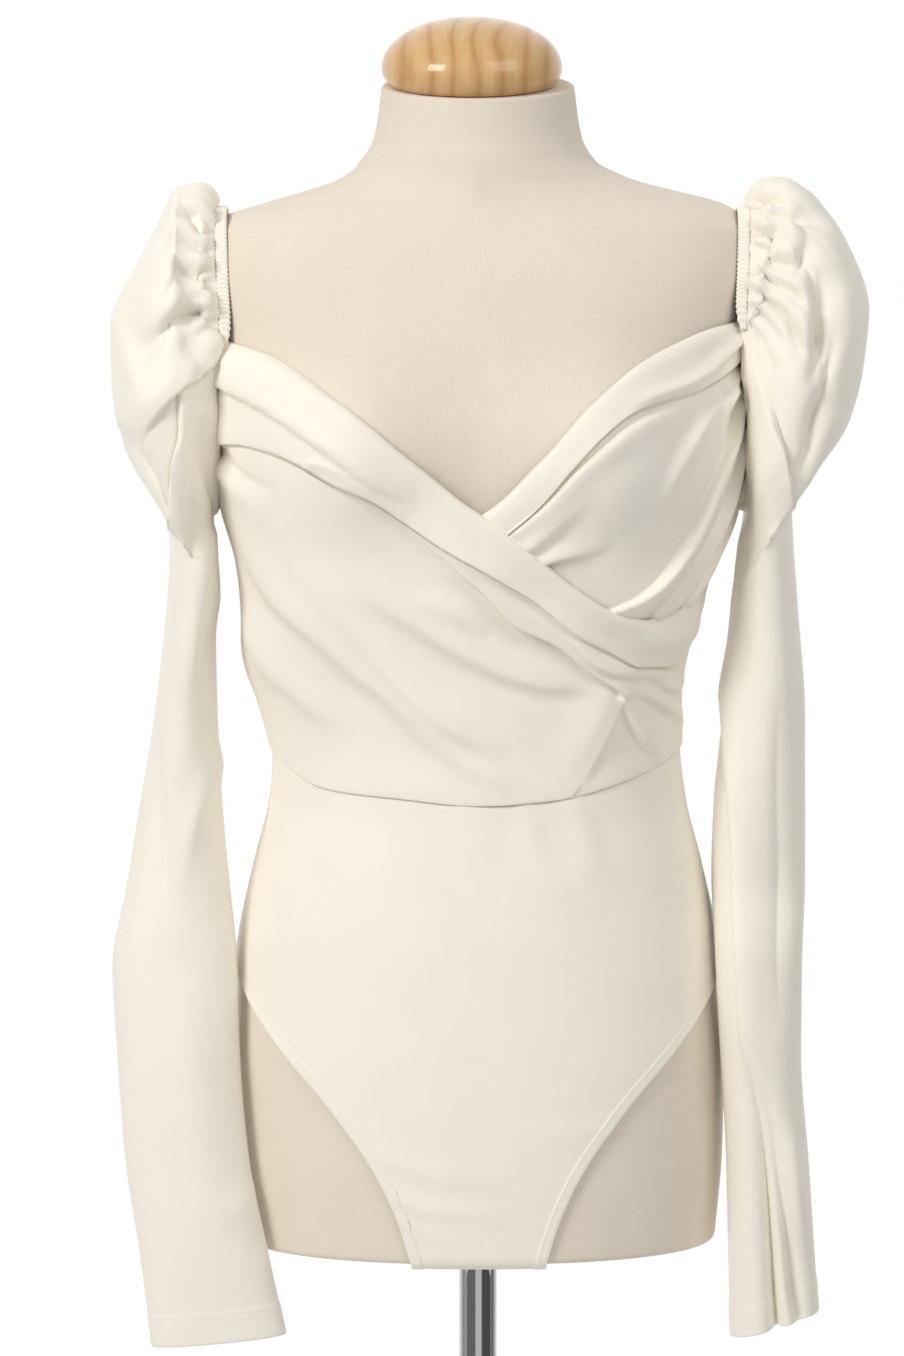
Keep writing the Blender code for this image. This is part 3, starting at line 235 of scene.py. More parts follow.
BRIEF_FRONT_FOLDS = (
    (0.3, 0, (11, 1.031, 7, 1.3), (12.6, 1.015, 9, 2), (14.5, 0.993, 10, 1.3), (19, 0.968, 10, 0)),
    (-0.2, 0, (25, 1.035, 9, 1.4), (27.8, 1.0161, 11, 2.1), (28, 0.9908, 12, 1.4), (33, 0.964, 12, 0)),
    (0.2, 0, (62, 1.05, 10, 1.2), (68, 1.025, 12, 2), (74, 0.995, 13, 1), (80, 0.97, 12, 0)),
    (0, 0, (-3, 1.03, 7, 1), (-1, 1.01, 9, 1.2), (0, 0.99, 9, 0)),
    (0, 0, (-60, 1.048, 10, 1), (-66, 1.025, 12, 1.4), (-72, 0.995, 12, 0)),
    (0.3, 0, (-18.5, 0.808, 5, 1.2), (-8.9, 0.7985, 7, 1.4), (1, 0.7952, 8, 0.9), (9, 0.798, 8, 0)),
    (0.3, 0, (-15.4, 0.78, 4, 1.6), (-8, 0.7738, 5, 1.7), (0, 0.7724, 6, 1), (9, 0.776, 7, 0)),
    (0.2, 0, (-14, 0.764, 4, 1), (-7, 0.759, 4, 1), (2, 0.758, 5, 0)),
    (0.2, 0, (28, 0.829, 6, 0.8), (18, 0.825, 8, 0.9), (6, 0.829, 8, 0)),
    (0, 0, (10, 1.032, 12, -1), (17, 1.01, 14, -1.6), (22, 0.98, 14, 0)),
)
BRIEF_BACK_FOLDS = (
    (0.2, 0, (140, 1.072, 10, 1.3), (146, 1.045, 12, 1.8), (150, 1.015, 12, 0)),
    (-0.2, 0, (222, 1.072, 10, 1.3), (216, 1.043, 12, 2), (210, 1.01, 12, 0)),
    (0.2, 0, (164, 0.8, 6, 1), (176, 0.79, 8, 1.6), (190, 0.792, 8, 1), (198, 0.799, 8, 0)),
    (0.2, 0, (128, 0.855, 7, 1), (148, 0.84, 10, 1.3), (168, 0.836, 10, 0)),
    (-0.2, 0, (233, 0.857, 7, 1), (212, 0.843, 10, 1.3), (194, 0.838, 10, 0)),
)
# Stations on the front of a sleeve: distance from the centre line, height, half width, lift.
SLEEVE_RIGHT_FRONT = (
    (0.7, 6, (0.164, 1.3262, 4, 3), (0.1794, 1.3122, 4, 6.5), (0.1956, 1.2981, 5, 6.5),
     (0.2105, 1.2788, 6, 3.6), (0.22, 1.264, 7, 0)),
    (-0.1, 0, (0.197, 1.424, 8, 0), (0.189, 1.417, 6.4, -3.6), (0.183, 1.411, 4.6, -8.4),
     (0.1785, 1.4033, 3.6, -7.2), (0.172, 1.4, 3.2, -3.6)),
    (0, 0, (0.1689, 1.3867, 3, -4.4), (0.177, 1.3905, 4.2, -8), (0.185, 1.3945, 5.4, -6),
     (0.192, 1.402, 7.6, -2.2), (0.199, 1.411, 9, 0)),
    (0.2, 0, (0.1702, 1.3764, 3, -3.6), (0.1792, 1.3713, 4, -8.4), (0.1895, 1.3764, 5, -8.5),
     (0.196, 1.386, 6.8, -4.4), (0.204, 1.398, 9, -1.6), (0.211, 1.406, 10, 0)),
    (0, 0, (0.1677, 1.3655, 2.4, -3), (0.176, 1.3636, 3.4, -6.2), (0.187, 1.3661, 4.2, -4.6),
     (0.196, 1.37, 5, 0)),
    (0, 0, (0.168, 1.3559, 2.2, -2.6), (0.1773, 1.3578, 3, -4.6), (0.1883, 1.3552, 3.8, 0)),
    (-0.3, 0, (0.168, 1.35, 3, -3.4), (0.1793, 1.3482, 4.2, -10.2), (0.1935, 1.3418, 6.4, -10.6),
     (0.2103, 1.3315, 9, -6.6), (0.224, 1.323, 10, -2), (0.233, 1.318, 10, 0)),
    (-0.2, 0, (0.234, 1.365, 10, 0), (0.227, 1.34, 12, -4.5), (0.217, 1.318, 12, -5.5),
     (0.204, 1.306, 10, -2.5), (0.195, 1.301, 9, 0)),
    (0, 0, (0.1652, 1.3398, 2.4, -2.6), (0.1742, 1.3366, 3.4, -5.6), (0.185, 1.33, 4.6, 0)),
    (-0.7, 12, (0.18, 1.308, 5, 0), (0.1897, 1.2946, 5, 5), (0.1887, 1.2723, 5, 7.5),
     (0.1918, 1.2521, 6, 8), (0.1948, 1.2318, 6, 7), (0.1965, 1.216, 6, 3.5), (0.1985, 1.203, 6, 0)),
    (0.2, 0, (0.169, 1.32, 4, 0), (0.1723, 1.3045, 4, 3.2), (0.1744, 1.2768, 4, 4.3),
     (0.1751, 1.2466, 4, 4.3), (0.1752, 1.2137, 5, 3.6), (0.174, 1.1756, 5, 2.2), (0.174, 1.14, 5, 0)),
    (0, 0, (0.1815, 1.285, 3.4, 0), (0.1821, 1.2723, 3.4, -3.8), (0.1829, 1.2401, 3.4, -5.4),
     (0.1836, 1.2079, 3.4, -3.8), (0.184, 1.18, 4.2, 0)),
    (-0.2, 0, (0.233, 1.276, 6.8, 0), (0.2292, 1.2627, 6, -7.1), (0.2183, 1.2453, 6, -9.8),
     (0.2055, 1.2272, 5.1, -8.1), (0.1985, 1.2137, 4.2, 0)),
    (0.2, 0, (0.1775, 1.21, 4, 0), (0.1785, 1.1943, 4, 2.9), (0.1812, 1.1626, 5, 4),
     (0.1852, 1.1303, 5, 3.6), (0.1865, 1.1, 6, 0)),
    (0.2, 0, (0.164, 1.075, 5, 1.1), (0.1725, 1.0492, 6, 3.6), (0.1803, 1.0324, 6, 4.3),
     (0.1869, 1.0102, 7, 2.9), (0.193, 0.97, 8, 0)),
    (0, 0, (0.218, 1.09, 8, 0), (0.21, 1.05, 8, -3.2), (0.205, 1, 9, -3.6), (0.203, 0.95, 9, 0)),
    (0, 0, (0.19, 0.93, 14, 0), (0.185, 0.86, 15, 3.2), (0.175, 0.79, 14, 2.2), (0.17, 0.74, 12, 0)),
    (0.2, 0, (0.175, 0.767, 4, 0), (0.165, 0.7705, 4, 1.8), (0.154, 0.7745, 4, 2.5),
     (0.145, 0.781, 4, 1.4)),
    (0, 0, (0.15, 0.74, 5, 0), (0.143, 0.748, 5, -1.8), (0.138, 0.76, 5, -1.8)),
)
SLEEVE_LEFT_FRONT = (
    (-0.7, 12, (0.175, 1.3345, 4, 2), (0.1782, 1.315, 5, 6), (0.1833, 1.2947, 5, 8),
     (0.1883, 1.2724, 6, 8.4), (0.1934, 1.2542, 6, 8), (0.1975, 1.238, 6, 5.5), (0.201, 1.226, 6, 2),
     (0.2035, 1.216, 6, 0)),
    (0, 0, (0.1738, 1.3045, 2.5, 0), (0.173, 1.2826, 2.5, -6.1), (0.1706, 1.253, 2.5, -7.3),
     (0.17, 1.2143, 3.4, -3.6), (0.17, 1.19, 3.4, 0)),
    (0, 0, (0.1745, 1.413, 2.5, -4.9), (0.181, 1.4215, 2.5, -11.3), (0.1881, 1.4251, 3.4, -11.3),
     (0.198, 1.4219, 4.2, -6.1), (0.208, 1.42, 5.1, 0)),
    (0.3, 0, (0.1843, 1.4135, 3.4, -7.9), (0.2004, 1.4135, 4.2, -11.3), (0.2146, 1.4113, 5.1, -8.6),
     (0.226, 1.402, 6, 0)),
    (0, 0, (0.173, 1.402, 3, -4.5), (0.18, 1.399, 3.6, -9.5), (0.185, 1.399, 4.4, -10.5),
     (0.191, 1.405, 5.2, -7), (0.2, 1.408, 6.4, 0)),
    (0, 0, (0.1722, 1.3924, 3, -4), (0.1812, 1.3892, 4.4, -9.5), (0.1877, 1.382, 5.6, -12.5),
     (0.2005, 1.3802, 6.4, -12.5), (0.2115, 1.3886, 6.4, -7.5), (0.217, 1.398, 7, 0)),
    (0, 0, (0.1725, 1.376, 2.5, -4.7), (0.1793, 1.3735, 2.5, -9.9), (0.191, 1.3655, 3.4, -7.9),
     (0.2006, 1.3591, 4.2, -7.3), (0.2084, 1.3482, 5.1, 0)),
    (0.2, 0, (0.1725, 1.362, 2.5, -3.9), (0.1794, 1.358, 2.5, -8.6), (0.1891, 1.3482, 3.4, -9.9),
     (0.1969, 1.3366, 4.2, -9.9), (0.2047, 1.3225, 5.1, -6.6), (0.212, 1.312, 6, 0)),
    (0, 0, (0.173, 1.351, 2.5, -2.6), (0.181, 1.344, 3.2, -6.6), (0.188, 1.334, 4, -6.2),
     (0.196, 1.321, 5.1, 0)),
    (0, 0, (0.174, 1.34, 2.5, -2.2), (0.1795, 1.33, 3.4, -4.4), (0.1845, 1.318, 4.2, -3.4),
     (0.189, 1.304, 5.1, 0)),
    (-0.3, 0, (0.22, 1.386, 6.8, 0), (0.2296, 1.364, 6.8, -11.8), (0.2258, 1.3418, 6.8, -13.5),
     (0.2201, 1.3238, 6.8, -12.6), (0.215, 1.31, 6, -7.6), (0.212, 1.298, 6, 0)),
    (0.3, 0, (0.236, 1.36, 7.6, 0), (0.233, 1.33, 8.5, -8.5), (0.2241, 1.2981, 8.5, -12.3),
     (0.2152, 1.2788, 7.6, -13.3), (0.211, 1.2594, 6.8, -9.9), (0.206, 1.24, 6, 0)),
    (-0.4, 0, (0.206, 1.423, 9, 0), (0.212, 1.405, 12, -5), (0.2165, 1.385, 14, -9),
     (0.2195, 1.362, 14, -11), (0.222, 1.338, 12, -9), (0.223, 1.315, 10, -5), (0.222, 1.295, 9, 0)),
    (0.1, 0, (0.204, 1.36, 7, 0), (0.21, 1.34, 8, 4.8), (0.209, 1.32, 8, 4.4), (0.205, 1.296, 8, 0)),
    (0.55, 0, (0.166, 1.205, 4, 0), (0.1652, 1.1775, 4, 3.1), (0.164, 1.1199, 5, 4.4),
     (0.166, 1.0622, 6, 5.1), (0.17, 0.9959, 7, 5.8), (0.1705, 0.9516, 7, 6.5), (0.172, 0.9027, 7, 5.8),
     (0.175, 0.8537, 6, 3.4), (0.178, 0.83, 6, 0)),
    (-0.25, 0, (0.174, 0.88, 6, 0), (0.1765, 0.8537, 5, -5.1), (0.1845, 0.7949, 5, -9.2),
     (0.19, 0.7356, 5, -12.9), (0.1922, 0.7099, 5, -14.3), (0.1944, 0.6895, 5, -14.3)),
    (-0.3, 0, (0.18, 0.86, 5, 0), (0.1893, 0.8244, 5, -4.4), (0.1966, 0.783, 5, -7.5),
     (0.2046, 0.7455, 6, -10.2), (0.2086, 0.7159, 6, -10.9), (0.211, 0.6994, 6, -8.5)),
    (0, 0, (0.2, 0.83, 6, 0), (0.203, 0.8, 6, 3.7), (0.206, 0.77, 6, 3.4), (0.21, 0.74, 6, 0)),
    (0.2, 0, (0.195, 1.11, 8, 0), (0.195, 1.05, 9, -3.4), (0.196, 0.99, 9, -4.1), (0.193, 0.93, 8, -2.7),
     (0.195, 0.89, 8, 0)),
)
# Stations on the back of either sleeve, in the same columns.
SLEEVE_BACK = (
    (0, 0, (0.17, 1.398, 2.7, -3.6), (0.18, 1.401, 3.6, -8.1), (0.19, 1.408, 4.5, -5.4),
     (0.2, 1.41, 5.4, 0)),
    (0, 0, (0.17, 1.383, 2.7, -3.6), (0.18, 1.382, 3.6, -8.5), (0.192, 1.387, 4.5, -6.8),
     (0.203, 1.393, 5.4, 0)),
    (0.1, 0, (0.17, 1.369, 2.7, -3.1), (0.181, 1.365, 3.6, -7.6), (0.195, 1.36, 5.4, -8.5),
     (0.21, 1.362, 6.3, 0)),
    (0.1, 0, (0.1695, 1.354, 2.7, -3.1), (0.18, 1.348, 3.6, -7.2), (0.193, 1.336, 5.4, -9),
     (0.208, 1.318, 7.2, -6.8), (0.218, 1.3, 7.2, 0)),
    (0, 0, (0.169, 1.342, 2.7, -2.8), (0.177, 1.333, 3.6, -5.9), (0.185, 1.318, 4.5, -4.5),
     (0.19, 1.3, 5.4, 0)),
    (-0.3, 0, (0.233, 1.35, 8.1, 0), (0.229, 1.32, 8.1, -7.2), (0.221, 1.29, 8.1, -8.5),
     (0.211, 1.26, 7.2, -6.8), (0.202, 1.235, 6.3, 0)),
    (0.5, 3, (0.186, 1.31, 5, 0), (0.19, 1.28, 6, 4.3), (0.195, 1.245, 6, 6.1), (0.198, 1.21, 6, 5.4),
     (0.2, 1.17, 7, 2.2), (0.201, 1.14, 7, 0)),
    (0.2, 0, (0.178, 1.22, 5, 0), (0.18, 1.18, 5, -3.2), (0.182, 1.13, 6, -4), (0.185, 1.07, 7, 0)),
    (0.2, 0, (0.205, 1.09, 7, 0), (0.198, 1.03, 8, 4.3), (0.19, 0.97, 9, 4), (0.185, 0.9, 10, 0)),
    (0, 0, (0.175, 0.9, 9, 0), (0.182, 0.83, 10, -3.6), (0.188, 0.76, 9, -3.6), (0.19, 0.7, 8, 0)),
)


# ---------------------------------------------------------------- reading the tables
def hermite(t, start, end, leave, arrive):
    """A cubic from start to end; leave and arrive are its slopes there, for the whole of t."""
    rise = t * t * (3 - 2 * t)
    return start * (1 - rise) + end * rise + leave * (t * (1 - t) ** 2) + arrive * (t * t * (t - 1))


def smooth_column(rows, column, at):
    """The value of a table's column at a place in its first column, on a smooth monotone curve."""
    knots, values = np.array([(row[0], row[column]) for row in rows], dtype=float).T
    steps = np.diff(knots)
    rises = np.diff(values) / steps
    slopes = np.concatenate(([rises[0]], np.zeros(len(knots) - 2), [rises[-1]]))
    same_way = rises[:-1] * rises[1:] > 0
    safe = np.where(same_way, rises[:-1] * rises[1:], 1.0)
    mean = 3 * (steps[:-1] + steps[1:]) * safe
    weighted = (2 * steps[1:] + steps[:-1]) * rises[1:] + (steps[1:] + 2 * steps[:-1]) * rises[:-1]
    slopes[1:-1] = np.where(same_way, mean / np.where(same_way, weighted, 1.0), 0.0)
    at = np.asarray(at, dtype=float)
    place = np.clip(np.searchsorted(knots, at) - 1, 0, len(steps) - 1)
    step = steps[place]
    t = np.clip((at - knots[place]) / step, 0, 1)
    return hermite(t, values[place], values[place + 1], slopes[place] * step, slopes[place + 1] * step)


def columns_at(rows, at, *columns):
    """Several columns of a table, each read as by smooth_column."""
    return [smooth_column(rows, column, at) for column in columns]


def ease_in_out(value, low, high):
    """0 below low, 1 above high, and smooth between them."""
    t = np.clip((np.asarray(value, dtype=float) - low) / (high - low), 0, 1)
    return t * t * (3 - 2 * t)


def unit(vectors):
    return vectors / np.maximum(np.linalg.norm(vectors, axis=-1, keepdims=True), 1e-12)


def travelled(path):
    """Distance along a path, or along every column of a grid, to each of its points."""
    hops = np.linalg.norm(np.diff(path, axis=0), axis=-1)
    return np.concatenate([np.zeros_like(hops[:1]), np.cumsum(hops, axis=0)])


def read_along(at, knots, rows):
    """Rows read in straight lines between their knots."""
    return np.stack([np.interp(at, knots, column) for column in rows.T], axis=-1)


def stations(points, count, scale=(METRES_PER_DEGREE, 1.0), crowd=1.0):
    """A table's rows, spaced on a smooth curve through them: evenly, or crowded to its end."""
    points = np.array(points, dtype=float)
    rows = np.column_stack([travelled(points[:, :2] * scale), points])
    places = np.linspace(0, 1, count) ** crowd * rows[-1, 0]
    return np.stack(columns_at(rows, places, *range(1, rows.shape[1])), axis=-1)


# ---------------------------------------------------------------- the form's surface
def form_point(angle, height):
    turn = np.radians(angle)
    sine, cosine = np.sin(turn), np.cos(turn)
    half, front, behind, square = columns_at(FORM_SECTIONS, height, 1, 2, 3, 4)
    half = half + np.where(sine > 0, *columns_at(SHOULDERS, height, 1, 2))
    x = half * np.sign(sine) * np.abs(sine) ** (2 / square)
    y = -np.where(cosine > 0, front, behind) * np.sign(cosine) * np.abs(cosine) ** (2 / square)
    spread = np.where(height < BUST_HEIGHT, BUST_BELOW, BUST_ABOVE)
    across = (np.abs(x) - BUST_OUT) / BUST_SPREAD
    bust = BUST_LIFT * np.exp(-across**2 - ((height - BUST_HEIGHT) / spread) ** 2)
    y = y - bust * np.sqrt(np.clip(cosine, 0, 1))
    z = height + NECK_TILT * y * ease_in_out(height, TILT_FROM, TILT_TO)
    return np.stack([x, y, z], axis=-1)


def form_normal(angle, height):
    across = form_point(angle + 0.5, height) - form_point(angle - 0.5, height)
    upward = form_point(angle, height + 0.001) - form_point(angle, height - 0.001)
    return unit(np.cross(across, upward))


def ease(angle, height):
    """How far the cloth stands off the form."""
    total = np.zeros(np.shape(angle))
    for at_angle, at_height, angle_spread, height_spread, lift in EASE:
        off = (np.asarray(angle) - at_angle + 180) % 360 - 180
        total += lift * np.exp(-(off / angle_spread) ** 2 - ((height - at_height) / height_spread) ** 2)
    return total


def cloth_point(angle, height, offset):
    angle, height = np.asarray(angle, dtype=float), np.asarray(height, dtype=float)
    reach = (offset + ease(angle, height))[..., None]
    return form_point(angle, height) + form_normal(angle, height) * reach


# ---------------------------------------------------------------- relief
FOLD_STEPS = 28             # stations that a fold's route is read at
ROLL, ROLL_MOST = 0.85, 0.0050  # how far a leaning fold's top rolls over its steep side
FOOT = 0.24                 # depth of the tuck at that side's foot, as a share of the lift


def near_route(points, up, route, reach):
    """For the points near a route: their indices, distance, side of it, share along it and its left."""
    low, high = route.min(axis=0) - reach, route.max(axis=0) + reach
    near = np.flatnonzero(((points > low) & (points < high)).all(axis=1))
    here, above = points[near], up[near]
    best, side, share = np.full(len(near), np.inf), np.ones(len(near)), np.zeros(len(near))
    last = len(route) - 1
    for index, (start, span) in enumerate(zip(route, np.diff(route, axis=0))):
        t = np.clip(((here - start) @ span) / (span @ span), 0, 1)
        away = here - start - t[:, None] * span
        away = away - (away * above).sum(axis=1)[:, None] * above
        far = np.linalg.norm(away, axis=1)
        left = np.einsum("ij,ij->i", np.cross(span, away), above) > 0
        closer = far < best
        side = np.where(closer, np.where(left, 1.0, -1.0), side)
        share = np.where(closer, (index + t) / last, share)
        best = np.minimum(best, far)
    run = read_along(share * last, np.arange(len(route)), np.gradient(route, axis=0))
    return near, best, side, share, unit(np.cross(above, run))


def fold_relief(points, up, folds, to_world, scale=(METRES_PER_DEGREE, 1.0)):
    """Lift of every point by the folds of a table, and its slide along the cloth."""
    total, slide = np.zeros(len(points)), np.zeros((len(points), 3))
    for lean, flat, *rows in folds:
        rows = stations(rows, FOLD_STEPS, scale)
        rows[:, 2:] /= 1000
        flat, slant = flat / 1000, abs(lean)
        reach = 3 * rows[:, 2].max() * (1 + slant) + flat
        near, plain, side, share, left = near_route(points, up, to_world(rows[:, 0], rows[:, 1]), reach)
        half, height = read_along(share * (len(rows) - 1), np.arange(len(rows)), rows[:, 2:]).T
        broad = np.sign(lean) * side > 0
        far = np.where(broad, np.maximum(plain - flat, 0), plain)
        wide, steep, rise = half * (1 + lean * side), half * (1 - slant), np.maximum(height, 0)
        total[near] += height * np.exp(-(far / wide) ** np.where(height < 0, 1.35, 2.0))
        tuck = rise * slant * FOOT * np.exp(-((plain - 2.0 * steep) / (0.8 * steep)) ** 2)
        total[near] -= np.where(broad, 0.0, tuck)
        roll = np.minimum(ROLL * slant * rise, ROLL_MOST)
        roll *= np.exp(-(far / np.where(broad, 0.9 * wide, 1.3 * steep)) ** 2)
        slide[near] -= np.sign(lean) * left * roll[:, None]
    return total, slide


# ---------------------------------------------------------------- meshes
def grid_faces(rows, columns, tube):
    """Quads of a grid; a tube's last column joins its first."""
    row = np.arange(rows - 1)[:, None]
    column = np.arange(columns if tube else columns - 1)[None, :]
    here, beside = row * columns + column, row * columns + (column + 1) % columns
    return np.stack([here, beside, beside + columns, here + columns], axis=-1).reshape(-1, 4)


def tube_faces(rows, columns):
    """Quads of a tube whose first and last rings, of an even count, are closed by quads across them."""
    near = np.arange(columns // 2 - 1)
    first = np.stack([near + 1, near, columns - 1 - near, columns - 2 - near], axis=-1)
    return np.concatenate([grid_faces(rows, columns, True), first, first[:, ::-1] + (rows - 1) * columns])


def add(name, data):
    """A new object in the scene."""
    made = bpy.data.objects.new(name, data)
    bpy.context.scene.collection.objects.link(made)
    return made


def piece(name, points, faces, finish, slot, nodes=(), uv=None):
    """A smooth mesh that rides on the part, with its faces turned outwards."""
    points, faces = np.asarray(points, dtype=float), np.asarray(faces)
    a, b, c, d = (points[faces[:, corner]] - points.mean(axis=0) for corner in range(4))
    if (a * np.cross(b, c)).sum() + (a * np.cross(c, d)).sum() < 0:
        faces = faces[:, ::-1]
    mesh = bpy.data.meshes.new(name)
    mesh.from_pydata(points, [], faces)
    if uv is not None:
        layer = mesh.uv_layers.new(name="cloth")
        layer.data.foreach_set("uv", uv.reshape(-1, 2)[faces.ravel()].ravel())
    mesh.materials.append(finish)
    mesh.shade_smooth()
    mesh.update()
    made = add(name, mesh)
    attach(made, "root")
    if nodes:
        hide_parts(*nodes)
    return made


def rounded(outer, inner, onward):
    """Two rows that close a wall's end with a half round; onward is the first row inside the end."""
    middle, half = (outer + inner) / 2, (outer - inner) / 2
    away = outer - onward
    away = unit(away - (away * half).sum(-1, keepdims=True) * half / (half**2).sum(-1, keepdims=True))
    radius = np.linalg.norm(half, axis=-1, keepdims=True)
    return [middle + half * math.cos(turn) + away * radius * math.sin(turn)
            for turn in (math.pi / 3, 2 * math.pi / 3)]


def wall(outer, inner, tube=False):
    """Points and faces of a closed cloth wall whose first and last rows end in a half round."""
    first = rounded(outer[0], inner[0], outer[1])
    last = rounded(outer[-1], inner[-1], outer[-2])
    loop = np.concatenate([outer, last, inner[::-1], first[::-1]])
    rows, columns = loop.shape[:2]
    column = np.arange(columns if tube else columns - 1)
    beside = (column + 1) % columns
    end = (rows - 1) * columns
    faces = [grid_faces(rows, columns, tube),
             np.stack([end + column, end + beside, beside, column], axis=-1)]
    if not tube:
        count = len(outer)
        pair = np.arange(count - 1)
        across = 2 * count + 1 - pair
        side = np.stack([pair, pair + 1, across - 1, across], axis=-1)
        ends = [[count - 1, count, count + 1, count + 2], [2 * count + 1, rows - 2, rows - 1, 0]]
        side = np.concatenate([side, ends]) * columns
        faces += [side, (side + columns - 1)[:, ::-1]]
    return loop.reshape(-1, 3), np.concatenate(faces)


def wall_uv(flat):
    """Texture places of a wall's loop, in metres, from its outer grid's own."""
    return np.concatenate([flat, flat[-1:], flat[-1:], flat[::-1], flat[:1], flat[:1]])


STITCH_PITCH, STITCH_LENGTH = 0.0029, 0.0021
STITCH_TAPER, STITCH_SUNK = 0.18, 0.4   # shares of a stitch's length and thickness


def dashes(path, up, width, thick):
    """Points and faces of stitches laid along a path: small blocks with a gap between them."""
    far = travelled(path)
    starts = np.arange(STITCH_PITCH / 2, far[-1] - STITCH_LENGTH, STITCH_PITCH)
    head, tail = read_along(starts, far, path), read_along(starts + STITCH_LENGTH, far, path)
    above, run = read_along(starts + STITCH_LENGTH / 2, far, up), tail - head
    across, inset = unit(np.cross(above, run)) * width / 2, run * STITCH_TAPER
    corners = [end - above * thick * STITCH_SUNK
               for end in (head - across, head + across, tail + across, tail - across)]
    corners += [end + above * thick
                for end in (head - across * 0.5 + inset, head + across * 0.5 + inset,
                            tail + across * 0.5 - inset, tail - across * 0.5 - inset)]
    block = np.array([[0, 3, 2, 1], [4, 5, 6, 7], [0, 1, 5, 4], [1, 2, 6, 5], [2, 3, 7, 6], [3, 0, 4, 7]])
    faces = (np.arange(len(starts))[:, None, None] * 8 + block).reshape(-1, 4)
    return np.stack(corners, axis=1).reshape(-1, 3), faces


def joined(parts):
    """Points and faces of several meshes as one."""
    points, faces = zip(*parts)
    shifts = np.cumsum([0] + [len(some) for some in points])
    return np.concatenate(points), np.concatenate([some + shift for some, shift in zip(faces, shifts)])


AXIS = 0.0002               # radius of the small end face of a turned solid


def lathe(profile, sides):
    """Points and faces of a closed profile (radius, height) turned about Z."""
    profile = np.array(profile, dtype=float)
    turns = np.linspace(0, 2 * math.pi, sides, endpoint=False)
    ring = np.stack([np.cos(turns), np.sin(turns)], axis=-1)
    rows = np.concatenate([profile[:, :1, None] * ring[None],
                           np.broadcast_to(profile[:, 1:, None], (len(profile), sides, 1))], axis=-1)
    return rows.reshape(-1, 3), tube_faces(len(profile), sides)


def arc(centre, radius, start, end, count):
    """Points of a profile's rounded corner, turned from start to end in degrees."""
    turns = np.radians(np.linspace(start, end, count))
    return [(centre[0] + radius * math.cos(turn), centre[1] + radius * math.sin(turn)) for turn in turns]


# ---------------------------------------------------------------- materials
class Nodes:
    """Short calls for the nodes of a tree."""

    def __init__(self, tree):
        self.tree = tree

    def feed(self, target, value):
        """Gives an input its value, or links it to what feeds it."""
        if isinstance(value, bpy.types.NodeSocket):
            self.tree.links.new(value, target)
        else:
            target.default_value = value

    def node(self, kind, *first, **settings):
        """A node with its own settings and its inputs, by their names or as the first ones."""
        made = self.tree.nodes.new("ShaderNode" + kind)
        for key, value in settings.items():
            if hasattr(made, key):
                setattr(made, key, value)
            else:
                self.feed(made.inputs[key.replace("_", " ")], value)
        for target, value in zip(made.inputs, first):
            self.feed(target, value)
        return made

    def coordinates(self, kind, scale=(1.0, 1.0, 1.0)):
        place = self.node("TexCoord").outputs[kind]
        return self.node("Mapping", Vector=place, Scale=scale).outputs["Vector"]

    def noise(self, place, **settings):
        return self.node("TexNoise", Vector=place, **settings).outputs["Fac"]

    def remap(self, source, low, high, to_low=0.0, to_high=1.0, **settings):
        return self.node("MapRange", **settings, Value=source, From_Min=low, From_Max=high,
                         To_Min=to_low, To_Max=to_high).outputs["Result"]

    def ramp(self, source, stops):
        """The colour of a ramp, whose stops each hold a colour or a level of grey."""
        ramp = self.node("ValToRGB", Fac=source)
        elements = ramp.color_ramp.elements
        while len(elements) < len(stops):
            elements.new(0.5)
        for element, (place, colour) in zip(elements, stops):
            element.position, element.color = place, (*map(float, np.broadcast_to(colour, 3)), 1.0)
        return ramp.outputs["Color"]

    def multiplied(self, share, one, other):
        return self.node("Mix", data_type="RGBA", blend_type="MULTIPLY", Factor=share, A=one,
                         B=other).outputs["Result"]

    def bump(self, source, strength, distance, **after):
        return self.node("Bump", Height=source, Strength=strength, Distance=distance,
                         **after).outputs["Normal"]


class Shader(Nodes):
    """A Principled material, whose inputs are set by their names."""

    def __init__(self, name, **inputs):
        self.made = bpy.data.materials.new(name)
        self.made.use_nodes = True
        super().__init__(self.made.node_tree)
        self.set(**inputs)

    def set(self, **inputs):
        for key, value in inputs.items():
            self.feed(self.tree.nodes["Principled BSDF"].inputs[key.replace("_", " ")], value)


def knit_material(name, colour, rib, depth, roughness, sheen, mottle):
    """A knitted cloth: fine wales and courses in metres, with slight unevenness of colour."""
    shader = Shader(name, Roughness=roughness, Sheen_Weight=sheen, Sheen_Roughness=0.45,
                    Specular_IOR_Level=0.30)
    cloth, after = shader.coordinates("UV"), {}
    for way, waves, distortion, strength in (("X", 10, 0.6, 0.5), ("Y", 13, 0.8, 0.3)):
        wave = shader.node("TexWave", wave_type="BANDS", bands_direction=way, Vector=cloth,
                           Scale=math.pi / rib / waves, Distortion=distortion, Detail=1.0,
                           Detail_Scale=2.0)
        after = {"Normal": shader.bump(wave.outputs["Fac"], strength, depth, **after)}
    blotch = shader.noise(shader.coordinates("Object"), Scale=26.0, Detail=3.0, Roughness=0.55)
    darker = [channel * 0.975 for channel in colour]
    shader.set(Normal=shader.bump(blotch, 0.10, mottle, **after),
               Base_Color=shader.ramp(blotch, ((0.30, darker), (0.70, colour))))
    return shader.made


